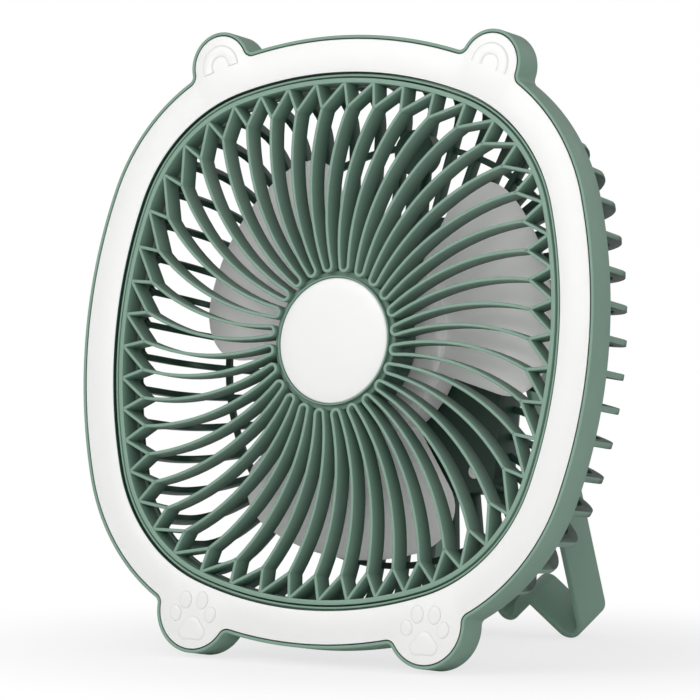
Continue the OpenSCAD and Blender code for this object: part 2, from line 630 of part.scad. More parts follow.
module rear_housing() color(green) placed() difference() {
    union() {
        slab(flange_front, rim_depth) difference() { polygon(lobed(-fit_gap / 2)); polygon(outline(ring_in)); }
        side_wall();
        for (k = [0:bar_count - 1]) bar(bar_start + k * bar_step);
        slab(back_depth - tie_h, back_depth - 0.4) difference() {
            circle(tie_r + tie_t / 2, $fn = 120);
            circle(tie_r - tie_t / 2, $fn = 120);
        }
        slab(back_depth - boss_h, back_depth - 0.2) translate([0, boss_y]) circle(boss_outer, $fn = round_fn);
        slab(back_depth - 2, back_depth - 0.3) translate([-boss_arm / 2, box_half - 1])
            square([boss_arm, boss_y - box_half]);
        slab(motor_front, box_back) difference() {
            rounded_rect(2 * box_half, 2 * box_half, box_corner);
            rounded_rect(2 * (box_half - wall), 2 * (box_half - wall), box_corner - wall);
        }
        slab(box_back - wall, box_back) difference() {
            rounded_rect(2 * box_half - wall, 2 * box_half - wall, box_corner - 1);
            rounded_rect(2 * (pod_screw_x - 3.5), 2 * (pod_screw_y - 5), pod_corner);
        }
        for (c = corners) translate(plate_screw_x * c) slab(motor_front, box_back - 1)
            circle(boss_r + 0.6, $fn = round_fn);
    }
    for (p = screw_places) translate(p) slab(flange_front - 1, rim_depth + 1) circle(hole_r, $fn = round_fn);
    for (c = corners) {
        translate(plate_screw_x * c) slab(motor_front - 1, motor_front + plate_bite + 1)
            circle(hole_r, $fn = round_fn);
        at_corner(c) slab(box_back - wall - 1, box_back + 1) circle(hole_r, $fn = round_fn);
    }
    translate([0, boss_y]) slab(back_depth - boss_h - 1, back_depth - 2) circle(hole_r, $fn = round_fn);
}

module housing_screws() color(steel) placed() for (p = screw_places) translate(p) screw(rim_depth, -1, tray_t + 2);

// ---------------------------------------------------------------- battery box

post_front = pod_back - pod_wall - post_len;
module battery_box() color(green) placed() difference() {
    union() {
        slab(box_back, pod_back - pod_wall) difference() {
            rounded_rect(2 * pod_half, 2 * pod_tall, pod_corner);
            rounded_rect(2 * (pod_half - pod_wall), 2 * (pod_tall - pod_wall), pod_corner - pod_wall);
        }
        for (c = corners) at_corner(c) {
            for (d = [box_back, post_front]) slab(d, d + post_len) {
                circle(boss_r, $fn = round_fn);
                translate([min(0, c.x * 5), -0.8]) square([5, 1.6]);
            }
        }
        for (m = [0, 1]) mirror([m, 0, 0]) translate([pod_half - pin_depth, pivot_y, -pivot_depth])
            rotate([0, 90, 0]) cylinder(r = pin_r + pin_collar, h = pin_depth - 1, $fn = round_fn);
    }
    for (c = corners) at_corner(c) {
        slab(box_back - 1, box_back + post_len - 1) circle(hole_r, $fn = round_fn);
        slab(post_front + 1, pod_back) circle(hole_r, $fn = round_fn);
    }
    for (m = [0, 1]) mirror([m, 0, 0]) translate([pod_half - pin_depth - 1, pivot_y, -pivot_depth])
        rotate([0, 90, 0]) cylinder(r = pin_r + screw_clear, h = pin_depth + 3, $fn = round_fn);
}

module box_screws() color(steel) placed() for (c = corners) at_corner(c)
    screw(box_back - wall, 1, wall + post_len - 2);

module battery_cells() color("#5f7fa8") placed() for (m = [-1, 1]) translate([m * cell_x, cell_len / 2, -cell_depth])
    rotate([90, 0, 0]) {
        cylinder(r = cell_r, h = cell_len, $fn = 96);
        translate([0, 0, -0.8]) cylinder(r = 3, h = 1.6, $fn = round_fn);
    }

board_half_x = pod_half - pod_wall - 1;
usb_y = -24;
lights_y = -8;
post_x = board_half_x - 3;
module control_board() color("#2f6b45") placed() slab(board_front, board_back)
    rounded_rect(2 * board_half_x, board_tall, 2);

module button_switches() color(black) placed() for (m = [-1, 1]) translate([m * button_x, button_y]) {
    slab(board_back, board_back + 0.9) square(switch_w, center = true);
    slab(board_back + 0.8, switch_top) circle(1.6, $fn = round_fn);
}

module usb_port() color(steel) placed() translate([0, usb_y]) {
    slab(board_back, pod_back - 0.4) difference() {
        rounded_rect(usb_w, usb_h, usb_h / 2 - 0.05);
        rounded_rect(usb_w - 0.7, usb_h - 0.7, usb_h / 2 - 0.4);
    }
    slab(board_back, board_back + 0.8) rounded_rect(usb_w - 0.5, usb_h - 0.5, usb_h / 2 - 0.3);
    slab(board_back + 0.7, pod_back - 1.4) rounded_rect(usb_w - 2.2, 0.7, 0.3);
}

light_x = [for (i = [0:light_count - 1]) (i - (light_count - 1) / 2) * 5];
module charge_lights() color("#dfe8df") placed() for (x = light_x) translate([x, lights_y])
    slab(board_back + 0.1, pod_back) circle(light_r, $fn = round_fn);

module button(m) placed() translate([m * button_x, button_y]) {
    rotate_extrude($fn = round_fn) polygon([[0, -switch_top - button_travel - 0.05],
        [flange_r, -switch_top - button_travel - 0.05], [flange_r, button_seat - pod_back + pod_wall],
        [button_r, button_seat - pod_back + pod_wall], [button_r, -pod_back - 0.5],
        [button_r - 0.5, -pod_back - 1], [0, -pod_back - 1]]);
}
module speed_button() color(white) button(-1);
module light_button() color(white) button(1);

module box_cover() color(green) placed() difference() {
    union() {
        slab(pod_back - pod_wall, pod_back) rounded_rect(2 * pod_half, 2 * pod_tall, pod_corner);
        for (x = [-post_x, post_x]) translate([x, 0]) slab(board_back, pod_back - 1) circle(2, $fn = round_fn);
    }
    for (m = [-1, 1]) translate([m * button_x, button_y]) slab(pod_back - pod_wall - 1, pod_back + 1)
        circle(button_r + button_gap, $fn = round_fn);
    for (x = light_x) translate([x, lights_y]) slab(pod_back - pod_wall - 1, pod_back + 1)
        circle(light_r + screw_clear, $fn = round_fn);
    translate([0, usb_y]) slab(pod_back - pod_wall - 1, pod_back + 1)
        rounded_rect(usb_w + 2 * button_gap, usb_h + 2 * button_gap, usb_h / 2 + 0.2);
    for (c = corners) at_corner(c) {
        slab(pod_back - pod_wall - 1, pod_back + 1) circle(hole_r, $fn = round_fn);
        slab(pod_back - cover_sink, pod_back + 1) circle(screw_head_r + fit_gap, $fn = round_fn);
    }
}

module cover_screws() color(steel) placed() for (c = corners) at_corner(c)
    screw(pod_back - cover_sink, -1, pod_wall - cover_sink + post_len - 2);

// ---------------------------------------------------------------- stand

// Middle line of the strap: leg, foot, crest and hook seat, joined by straight tangents
function half_strap() = let (
    foot = [stand_half - strap_t / 2 - foot_r, foot_r - stand_len],
    crest = [crest_x, crest_rise - crest_r - stand_len], seat = [0, seat_rise + seat_r - stand_len],
    a = bearing(crest - foot) + acos((foot_r + crest_r) / norm(crest - foot)),
    b = bearing(seat - crest) - acos((crest_r + seat_r) / norm(seat - crest)) + 360)
    concat([[stand_half - strap_t / 2, 0]], arc(foot, foot_r, 0, a - 360, 12),
        arc(crest, crest_r, a - 180, b, 10), arc(seat, seat_r, b - 180, -90, 5));

module stand() color(green) placed() translate([0, pivot_y, -pivot_depth]) rotate([stand_angle, 0, 0]) {
    h = half_strap();
    path = concat(h, mirrored([for (i = [0:len(h) - 2]) h[i]]));
    difference() {
        union() {
            translate([0, 0, -strap_w / 2]) linear_extrude(strap_w) polygon(ribbon(path, strap_t));
            for (x = [leg_in, -stand_half]) translate([x, 0, 0]) rotate([0, 90, 0])
                cylinder(r = strap_w / 2, h = strap_t, $fn = 96);
        }
        translate([-stand_half - 1, 0, 0]) rotate([0, 90, 0])
            cylinder(r = pin_r + pin_clear, h = 2 * stand_half + 2, $fn = round_fn);
    }
}

module pivot_pins() color(steel) placed() for (m = [0, 1]) mirror([m, 0, 0])
    translate([0, pivot_y, -pivot_depth]) rotate([0, 90, 0]) {
        translate([0, 0, pod_half - pin_depth])
            cylinder(r = pin_r, h = stand_half + 0.1 - pod_half + pin_depth, $fn = round_fn);
        translate([0, 0, stand_half + 0.1]) cylinder(r = pin_r + pin_collar, h = pin_head_t, $fn = round_fn);
    }

washer_t = leg_in - pod_half - 0.1;
module pivot_washers() color(black) placed() for (m = [0, 1]) mirror([m, 0, 0])
    translate([pod_half, pivot_y, -pivot_depth]) rotate([0, 90, 0]) difference() {
        cylinder(r = pin_r + washer_rim, h = washer_t, $fn = round_fn);
        translate([0, 0, -1]) cylinder(r = pin_r + pin_clear, h = washer_t + 2, $fn = round_fn);
    }

front_bezel();
light_panel();
led_board();
led_chips();
front_grille();
hub_cap();
impeller();
motor_shaft();
motor_bushes();
motor_can();
motor_end_cap();
motor_plate();
motor_screws();
plate_screws();
rear_housing();
housing_screws();
battery_box();
box_screws();
battery_cells();
control_board();
button_switches();
usb_port();
charge_lights();
speed_button();
light_button();
box_cover();
cover_screws();
stand();
pivot_pins();
pivot_washers();
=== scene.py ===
"""Finished look of a portable camping fan: ring light, grille, impeller, housing and stand."""

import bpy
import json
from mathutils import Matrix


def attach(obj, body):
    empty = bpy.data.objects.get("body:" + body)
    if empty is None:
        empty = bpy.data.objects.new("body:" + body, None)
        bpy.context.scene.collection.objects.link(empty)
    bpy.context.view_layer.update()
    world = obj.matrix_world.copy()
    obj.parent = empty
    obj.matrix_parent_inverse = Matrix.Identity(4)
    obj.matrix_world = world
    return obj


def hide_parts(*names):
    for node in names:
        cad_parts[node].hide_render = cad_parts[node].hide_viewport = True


bl_info = {
    "name": "Portable camping fan",
    "version": (1, 0, 0),
    "blender": (4, 5, 0),
    "location": "3D View > Sidebar > Camping Fan",
    "description": "Builds the finished surfaces of a portable camping fan round its solid model",
    "category": "Add Mesh",
}

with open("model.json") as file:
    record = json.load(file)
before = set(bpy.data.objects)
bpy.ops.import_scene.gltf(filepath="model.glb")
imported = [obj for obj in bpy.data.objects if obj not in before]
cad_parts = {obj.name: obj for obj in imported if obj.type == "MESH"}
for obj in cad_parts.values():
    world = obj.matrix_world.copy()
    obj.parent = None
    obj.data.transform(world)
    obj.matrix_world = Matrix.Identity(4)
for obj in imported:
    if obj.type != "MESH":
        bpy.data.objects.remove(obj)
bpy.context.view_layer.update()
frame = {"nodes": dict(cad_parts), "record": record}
import json

import bpy
import numpy as np
from mathutils import Matrix, Vector

MM = 0.001
TURN = 2 * np.pi
JOINTS = {joint["name"]: joint for joint in frame["record"]["behaviour"]["joints"]}

# depths behind the panel's face that several pieces share, in millimetres
PANEL_BACK = 2.0        # the light panel
TRAY_BACK = 8.6         # the bezel's tray behind it
LEDGE_BACK = 10.4       # the bezel's ledge, where the rear housing starts
BOX_BACK = 51.6         # the motor box, where the battery box starts

OPENING_STEPS = 300     # points round the lip and the grille's ring
DENSE_STEPS = 7200      # points of an outline that is only read, never drawn


# ---- sizes and colours

def length(name, text, value):
    """A length in metres, given here in millimetres."""
    return bpy.props.FloatProperty(name=name, description=text, default=value * MM, precision=5,
                                   subtype="DISTANCE", unit="LENGTH")


def degrees(name, text, value):
    """An angle in radians, given here in degrees."""
    return bpy.props.FloatProperty(name=name, description=text, default=np.radians(value),
                                   subtype="ANGLE", unit="ROTATION")


def colour(name, text, value):
    """A plain colour, given by its linear red, green and blue."""
    return bpy.props.FloatVectorProperty(name=name, description=text, default=value, size=3,
                                         min=0.0, max=1.0, subtype="COLOR")


class FanFaceSizes(bpy.types.PropertyGroup):
    """Outline of the face with its ears and paws."""
    width: length("Width", "Width of the light panel between its ears", 202.8)
    height: length("Height", "Height of the light panel without ears and paws", 208.4)
    side_r: length("Side radius", "Radius of the left and right sides", 176.5)
    top_r: length("Top radius", "Radius of the top and bottom sides", 158.6)
    corner_r: length("Corner radius", "Radius of the corners", 69.1)
    band: length("Band", "Width of the lit ring", 11.3)
    rim: length("Rim", "Wall of the green rim round the panel", 1.6)
    rim_depth: length("Rim depth", "Depth of the rim and of the ears and paws", 12.0)
    ear_x: length("Ear x", "Distance of each ear from the middle", 54.9)
    ear_y: length("Ear y", "Height of the ears above the middle", 95.3)
    ear_r: length("Ear radius", "Radius of an ear's panel", 10.4)
    paw_x: length("Paw x", "Distance of each paw from the middle", 47.1)
    paw_y: length("Paw y", "Distance of the paws below the middle", 94.9)
    paw_r: length("Paw radius", "Radius of a paw's panel", 13.7)
    blend: length("Blend", "Radius of the hollow where a lobe meets the ring", 4.0)
    emboss: length("Emboss", "Height of the raised ear arches and paw prints", 0.5)


class FanGrilleSizes(bpy.types.PropertyGroup):
    """Spiral grille and its hub; the first five are measured inwards from the panel's edge."""
    lip_out: length("Lip outside", "Outside of the lip round the grille", 12.0)
    lip_in: length("Lip inside", "Inside of the lip", 12.75)
    ring_out: length("Ring outside", "Outside of the grille's ring", 13.35)
    ring_in: length("Ring inside", "Inside of the ring", 15.0)
    fork: length("Forks", "Line of the ribs' forks", 23.45)
    ribs: bpy.props.IntProperty(name="Ribs", description="Number of spiral ribs", default=48, min=8)
    rib_w: length("Rib width", "Width of a rib", 1.15)
    front: length("Front", "Depth of the ribs' fronts behind the panel", 0.7)
    back: length("Back", "Depth of the ribs' rear edges", 8.6)
    arc_r: length("Arc radius", "Radius of the arc that each rib follows", 83.7)
    arc_centre: length("Arc centre", "Distance of that arc's centre from the hub", 92.75)
    arc_start: degrees("Start", "Direction of the first rib's arc centre", -56.31)
    loop_r: length("Loop radius", "Radius at which two ribs join in a loop", 25.8)
    lead: degrees("Lead", "Lead of a short strut's foot on the ring", 1.15)
    cap_r: length("Cap radius", "Radius of the white hub cap", 21.7)
    cap_front: length("Cap front", "Depth of the cap's face", 1.7)


class FanBodySizes(bpy.types.PropertyGroup):
    """Impeller, rear housing, battery box and stand."""
    blade_r: length("Blade radius", "Radius of the blade tips", 73.5)
    blade_span: degrees("Blade span", "Angle that one blade covers", 80.0)
    blade_start: degrees("Blade start", "Direction of the first blade", 25.0)
    blade_rise: length("Blade rise", "Rise of a blade from its front edge to its rear edge", 11.0)
    hub_r: length("Impeller hub", "Radius of the impeller's hub", 31.5)
    back: length("Back", "Depth of the flat back", 51.0)
    wall: length("Wall", "Thickness of the housing's walls", 2.2)
    wall_back: length("Side wall", "Depth at which the side wall ends", 24.0)
    wall_draft: length("Wall draft", "Draft of the side wall over its depth", 4.3)
    step: length("Step", "Step from the rim's outside to the side wall", 1.7)
    draft: length("Bar draft", "Draft of the bars past the wall's end", 2.3)
    shoulder: length("Shoulder", "Radius of the bars' rounded shoulder", 14.0)
    bars: bpy.props.IntProperty(name="Bars", description="Number of bars", default=52, min=8)
    bar_t: length("Bar thickness", "Thickness of a bar", 2.2)
    bar_h: length("Bar height", "Height of a bar", 4.5)
    bar_start: degrees("Bar start", "Direction of the first bar's foot", 2.9)
    slant: degrees("Slant", "Angle between a bar and the outline's normal", 5.0)
    tie_r: length("Tie ring", "Radius of the ring that ties the bars", 74.0)
    boss_y: length("Boss", "Height of the screw boss above the middle", 71.5)
    box_half: length("Box half", "Half width of the square motor box", 47.5)
    pod_half: length("Pod half", "Half width of the battery box", 27.0)
    pod_tall: length("Pod half height", "Half height of the battery box", 44.0)
    strap_w: length("Strap width", "Width of the stand's strap", 19.3)
    strap_t: length("Strap thickness", "Thickness of the stand's strap", 2.3)
    stand_half: length("Stand half", "Half width of the stand outside", 30.0)
    stand_len: length("Stand length", "Distance from the pivot to the feet", 139.5)


class FanColours(bpy.types.PropertyGroup):
    """Colours of the plastics and metals."""
    green: colour("Green", "Moulded green plastic", (0.222, 0.356, 0.279))
    # painted shade: this darker green is painted where the plastic lies low between ribs and bars,
    # in place of the shade there
    painted_shade_green: colour("Deep green", "The same plastic low between ribs", (0.018, 0.066, 0.042))
    dark_green: colour("Dark green", "Plate behind the impeller", (0.024, 0.052, 0.038))
    white: colour("White", "Light panel and hub cap", (0.90, 0.90, 0.89))
    grey: colour("Grey", "Impeller", (0.96, 0.94, 0.935))
    steel: colour("Steel", "Screws, pins and motor", (0.62, 0.62, 0.63))


# ---- the fan's own frame

AXIS = Vector(JOINTS["fan_spin"]["axis"])               # from the face to the back
UP = Vector((0.0, -AXIS.z, AXIS.y))
SPIN_DEPTH = 28.0 * MM
FACE = Vector(JOINTS["fan_spin"]["pos_m"]) - SPIN_DEPTH * AXIS
HINGE = Vector(JOINTS["stand_hinge"]["pos_m"])
STAND_OPEN = -np.radians(JOINTS["stand_hinge"]["range_deg"][0])
LEAN = np.array(((1.0, 0.0, 0.0), UP, AXIS))


def placed(points):
    """Points (right, up, depth) of the fan as world points: face + right X + up UP + depth AXIS."""
    return np.asarray(points) @ LEAN + np.array(FACE)


def heading(angle):
    """Unit vectors (cos, sin) of an array of angles."""
    return np.stack((np.cos(angle), np.sin(angle)), axis=-1)


def bearing(vector):
    """Angle of a flat vector."""
    return np.arctan2(vector[..., 1], vector[..., 0])


def wrapped(angle):
    """Angle brought between -pi and pi."""
    return (angle + np.pi) % TURN - np.pi


def turned(points, angle):
    """Flat points turned about the middle."""
    c, s = np.cos(angle), np.sin(angle)
    return points @ np.array(((c, s), (-s, c)))


def left_of(path):
    """Unit vectors to the left of a flat path at its points."""
    run = np.gradient(path, axis=0)
    run /= np.hypot(*run.T)[:, None]
    return np.column_stack((-run[:, 1], run[:, 0]))


# ---- outlines

def face_line(size, angle):
    """Rounded square of side, corner and top arcs that share tangents, as centres and radii.

    The angle is that of the outward normal. A point is centre + (radius + offset) x (cos, sin).
    """
    side = np.array((size.width / 2 - size.side_r, 0.0))
    top = np.array((0.0, size.height / 2 - size.top_r))
    a, b = size.side_r - size.corner_r, size.top_r - size.corner_r
    gap = top - side
    d = np.hypot(*gap)
    along = (a * a - b * b + d * d) / (2 * d)
    unit = gap / d
    corner = side + along * unit + np.sqrt(a * a - along * along) * np.array((-unit[1], unit[0]))
    turns = bearing(corner - side), bearing(corner - top)
    fold = np.arctan2(np.abs(np.sin(angle)), np.abs(np.cos(angle)))
    which = (fold >= turns[0]).astype(int) + (fold >= turns[1]).astype(int)
    sign = np.where(heading(angle) < 0, -1.0, 1.0)
    return (np.array((side, corner, top))[which] * sign,
            np.array((size.side_r, size.corner_r, size.top_r))[which], angle)


def even_line(size, steps):
    """The face line with its normals at even angles."""
    return face_line(size, np.linspace(0, TURN, steps, endpoint=False))


def offset(line, by):
    """Points of a line of arcs, moved out along their normals."""
    centre, radius, angle = line
    return centre + (radius + by)[:, None] * heading(angle)


def reach_to(size, by, angle):
    """Distance from the middle to the face line with an offset, in the given directions."""
    points = offset(even_line(size, DENSE_STEPS), by)
    return np.interp(angle, bearing(points), np.hypot(*points.T), period=TURN)


def lobe_arcs(size, centre, radius):
    """A lobe's round between two hollows, and the face line's angles where they start and end.

    A hollow's centre lies blend outside the face line and radius + blend from the lobe's centre.
    """
    angle = bearing(centre) + np.linspace(-1.0, 1.0, 20001)
    path = offset(face_line(size, angle), size.blend)
    miss = np.hypot(*(path - centre).T) - radius - size.blend
    cut = np.flatnonzero(np.diff(np.sign(miss)))
    share = miss[cut] / (miss[cut] - miss[cut + 1])
    start, end = angle[cut] + share * (angle[cut + 1] - angle[cut])
    hollows = path[cut] + share[:, None] * (path[cut + 1] - path[cut])
    first = start + wrapped(bearing(hollows[0] - centre) - start)
    last = first + (bearing(hollows[1] - centre) - first) % TURN
    arcs = ((hollows[0], -size.blend, start, first, 8), (centre, radius, first, last, 56),
            (hollows[1], -size.blend, last, last + wrapped(end - last), 8))
    parts = [(np.tile(c, (n, 1)), np.full(n, r), np.linspace(a, b, n, endpoint=False))
             for c, r, a, b, n in arcs]
    return tuple(np.concatenate(p) for p in zip(*parts)), start, end


def lobed_line(size):
    """The face line with its ears and paws, and the plain face line with a point beside each."""
    spacing = np.radians(1.2)
    parts, plain, at = [], [], -np.pi / 2

    def straight_on(to):
        angle = np.linspace(at, to, int((to - at) / spacing) + 2, endpoint=False)
        parts.append(face_line(size, angle))
        plain.append(angle)

    for x, y, r in ((size.paw_x, -size.paw_y, size.paw_r), (size.ear_x, size.ear_y, size.ear_r),
                    (-size.ear_x, size.ear_y, size.ear_r), (-size.paw_x, -size.paw_y, size.paw_r)):
        arcs, start, end = lobe_arcs(size, np.array((x, y)), r)
        start = at + (start - at) % TURN
        end = start + (end - start) % TURN
        straight_on(start)
        parts.append(arcs)
        plain.append(np.linspace(start, end, len(arcs[2]), endpoint=False))
        at = end
    straight_on(1.5 * np.pi)
    return tuple(np.concatenate(p) for p in zip(*parts)), face_line(size, np.concatenate(plain))


def rounded_rectangle(width, height, radius, steps=8):
    """Rounded rectangle as a line of arcs: four corner centres and the angles round each."""
    quarters = np.arange(4) * np.pi / 2
    angle = np.concatenate([np.linspace(q, q + np.pi / 2, steps) for q in quarters])
    sign = np.repeat(np.array(((1, 1), (-1, 1), (-1, -1), (1, -1))), steps, axis=0)
    centre = sign * np.array((width / 2 - radius, height / 2 - radius))
    return centre, np.full(4 * steps, radius), angle


def circle(steps=96, centre=(0.0, 0.0), radius=0.0):
    """Circle as a line of one arc; a radius of 0 leaves all of it to the offset."""
    angle = np.linspace(0, TURN, steps, endpoint=False)
    return np.tile(np.array(centre, dtype=float), (steps, 1)), np.full(steps, radius), angle


# ---- surfaces

def at_depth(points, depth):
    """Flat points with their depth as a third coordinate."""
    return np.column_stack((points, np.broadcast_to(depth, len(points))))


def carried(line, profile):
    """A profile of (offset, depth) in millimetres carried round a line: one row for each step."""
    return np.array([at_depth(offset(line, off * MM), depth * MM) for off, depth in profile])


def shell(rows, loop=True):
    """Closed surface through rows of points: each row closes on itself, the last joins the first.

    Where the rows don't loop, a flat lid closes each end. Faces are turned so that the sum of the
    triangles' triple products, six times the volume, is positive.
    """
    rows = np.asarray(rows)
    m, n = rows.shape[:2]
    index = np.arange(m * n).reshape(m, n)
    index = np.column_stack((index, index[:, :1]))
    if loop:
        index = np.vstack((index, index[:1]))
    quads = np.stack((index[:-1, :-1], index[:-1, 1:], index[1:, 1:], index[1:, :-1]), -1)
    quads = quads.reshape(-1, 4)
    points = rows.reshape(-1, 3)
    lids = [] if loop else [index[0, :n][::-1], index[-1, :n]]
    fans = [np.column_stack((np.full(n - 2, lid[0]), lid[1:-1], lid[2:])) for lid in lids]
    triangles = np.concatenate([quads[:, (0, 1, 2)], quads[:, (0, 2, 3)]] + fans)
    corner = points[triangles] - points.mean(axis=0)
    volume = np.einsum("ij,ij->i", corner[:, 0], np.cross(corner[:, 1], corner[:, 2])).sum()
    faces = quads.tolist() + [lid.tolist() for lid in lids]
    return points, faces if volume > 0 else [face[::-1] for face in faces]


def swept(path, section):
    """Rows of a section of (across, depth) carried along a flat path, across to its left."""
    return np.array([at_depth(point + section[:, :1] * left, section[:, 1])
                     for point, left in zip(path, left_of(path))])


def rounded_section(width, top, bottom, radius):
    """Section of a rib: straight sides, a rounded front at the depth top and a square rear."""
    turn = np.linspace(0, np.pi / 2, 4)
    x = width / 2 - radius + radius * np.sin(turn)
    y = top + radius - radius * np.cos(turn)
    half = np.column_stack((x, y))
    return np.vstack((half, (width / 2, bottom), (-width / 2, bottom), half[::-1] * (-1, 1)))


def piece(name, shells, solid, slot, finish=None, body="fan_body", deep=None):
    """Object at the origin from closed shells of the fan's frame, in place of a named solid.

    Where deep is given, it turns the points into the attribute deep, the weight of painted shade: 0
    outside, 1 low between ribs.
    """
    points = np.concatenate([s[0] for s in shells])
    starts = np.cumsum([0] + [len(s[0]) for s in shells])
    faces = [[i + start for i in face] for s, start in zip(shells, starts) for face in s[1]]
    mesh = bpy.data.meshes.new(name)
    mesh.from_pydata(placed(points).tolist(), [], faces)
    mesh.shade_smooth()
    mesh.set_sharp_from_angle(angle=np.radians(38.0))
    mesh.materials.append(finishes()[finish or slot])
    if deep:
        # painted shade: the attribute deep weights the darker colour that stands in for shade
        shade = mesh.attributes.new("deep", "FLOAT", "POINT")
        shade.data.foreach_set("value", np.clip(deep(points), 0.0, 1.0).astype(np.float32))
    made = bpy.data.objects.new(name, mesh)
    bpy.context.scene.collection.objects.link(made)
    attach(made, body)
    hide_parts(solid)


# ---- finishes

def fill(node, inputs):
    """Give each named input of a node a value, or a link from another node's output."""
    for name, value in inputs.items():
        if isinstance(value, bpy.types.NodeSocket):
            node.id_data.links.new(value, node.inputs[name])
        else:
            node.inputs[name].default_value = value


def node(beside, kind, inputs, **settings):
    """Outputs of a new shader node in the same tree, with the given settings and inputs."""
    made = beside.id_data.nodes.new("ShaderNode" + kind)
    for name, value in settings.items():
        setattr(made, name, value)
    fill(made, inputs)
    return made.outputs


def nodes_of(name):
    """A new material with its principled shader and object coordinates."""
    material = bpy.data.materials.new(name)
    material.use_nodes = True
    shader = material.node_tree.nodes["Principled BSDF"]
    return material, shader, node(shader, "TexCoord", {})["Object"]


def noise(where, scale, detail=2.0):
    """Noise pattern on the given coordinates; scale counts its cells in a metre."""
    return node(where, "TexNoise", {"Scale": scale, "Detail": detail, "Roughness": 0.5,
                                    "Vector": where})["Fac"]


def ramp(source, low=0.0, high=1.0):
    """Map a pattern's middle range onto low to high."""
    return node(source, "MapRange", {"From Min": 0.3, "From Max": 0.7, "To Min": low,
                                     "To Max": high, "Value": source})["Result"]


def between(share, first, second):
    """Colour that goes over from the first to the second with a share."""
    return node(share, "Mix", {"A": first, "B": second, "Factor": share}, data_type="RGBA")["Result"]


def bump(shader, source, strength, distance):
    """Tilt the shader's normal by the height of a pattern."""
    slope = node(shader, "Bump", {"Strength": strength, "Distance": distance, "Height": source})
    fill(shader, {"Normal": slope["Normal"]})


def tinted(shader, source, colour, spread, low=None):
    """Colour that drifts with a pattern, and goes over to low, the colour of painted shade, with the
    piece's attribute deep.
    """
    dark = [c * (1 - spread) for c in colour]
    pale = [min(1.0, c * (1 + spread)) for c in colour]
    made = between(source, (*dark, 1.0), (*pale, 1.0))
    if low is not None:
        # painted shade: the colour goes over to low where the attribute deep rises
        deep = node(shader, "Attribute", {}, attribute_name="deep")["Fac"]
        made = between(deep, made, (*low, 1.0))
    fill(shader, {"Base Color": made})


def moulded(name, colour, rough=0.45, grain=0.35, spread=0.03, low=None):
    """Matt moulded plastic: fine spark-eroded grain, faint flow clouds and uneven sheen."""
    material, shader, where = nodes_of(name)
    tinted(shader, ramp(noise(where, 38.0)), colour, spread, low)
    bump(shader, noise(where, 3200.0), grain, 0.06 * MM)
    cloud = ramp(noise(where, 160.0, 3.0), rough - 0.05, rough + 0.05)
    fill(shader, {"Roughness": cloud, "IOR": 1.46})
    return material


def smooth_plastic(name, colour, rough=0.28, low=None):
    """Smooth diffusing plastic with the faintest orange peel."""
    material, shader, where = nodes_of(name)
    tinted(shader, ramp(noise(where, 30.0)), colour, 0.006, low)
    bump(shader, noise(where, 420.0, 1.0), 0.10, 0.04 * MM)
    fill(shader, {"Roughness": rough, "Subsurface Weight": 0.15, "Subsurface Radius": [2 * MM] * 3})
    return material


def metal(name, colour, rough=0.32):
    """Plated metal: fine grain with soft tarnish."""
    material, shader, where = nodes_of(name)
    tinted(shader, ramp(noise(where, 90.0, 3.0)), colour, 0.08)
    bump(shader, noise(where, 2400.0, 1.0), 0.12, 0.03 * MM)
    cloud = ramp(noise(where, 700.0), rough - 0.08, rough + 0.08)
    fill(shader, {"Roughness": cloud, "Metallic": 1.0})
    return material


def circuit(name, colour):
    """Solder mask over etched tracks: a faint maze in colour and height."""
    material, shader, where = nodes_of(name)
    tracks = node(where, "TexVoronoi", {"Scale": 420.0, "Vector": where}, feature="DISTANCE_TO_EDGE")
    line = node(where, "MapRange", {"From Max": 0.08, "Value": tracks["Distance"]})["Result"]
    tinted(shader, line, colour, 0.18)
    bump(shader, line, 0.3, 0.04 * MM)
    fill(shader, {"Roughness": 0.3})
    return material


def finishes():
    """All finishes by the record's slot names, and two with painted shade where they lie low; made
    once.

    The frame brings plain materials under the slot names, so these have a name of their own.
    """
    tint = bpy.context.scene.fan_colours
    looks = {
        "green_plastic": (moulded, tint.green),
        # painted shade: the green finish below and the second white one darken towards a shade
        # colour where the attribute deep rises
        "green_ribs": (moulded, tint.green, 0.45, 0.35, 0.03, tint.painted_shade_green),
        "dark_green_plastic": (moulded, tint.dark_green, 0.5),
        "white_panel": (smooth_plastic, tint.white),
        "white_panel_edged": (smooth_plastic, tint.white, 0.28, tint.painted_shade_green),
        "white_plastic": (smooth_plastic, tint.white, 0.35),
        "grey_plastic": (moulded, tint.grey, 0.36, 0.15, 0.015),
        "black_plastic": (moulded, (0.02, 0.02, 0.022), 0.5),
        "clear_plastic": (smooth_plastic, (0.72, 0.82, 0.72), 0.15),
        "steel": (metal, tint.steel),
        "bronze": (metal, (0.45, 0.28, 0.13), 0.45),
        "rubber": (moulded, (0.025, 0.025, 0.025), 0.75, 0.5),
        "cell_wrap": (smooth_plastic, (0.10, 0.22, 0.45), 0.25),
        "board_white": (circuit, (0.80, 0.79, 0.74)),
        "board_green": (circuit, (0.03, 0.16, 0.07)),
        "led_yellow": (smooth_plastic, (0.85, 0.66, 0.20), 0.3),
    }
    made = bpy.data.materials
    return {name: made.get("fan_" + name) or make("fan_" + name, *values)
            for name, (make, *values) in looks.items()}


# ---- pieces

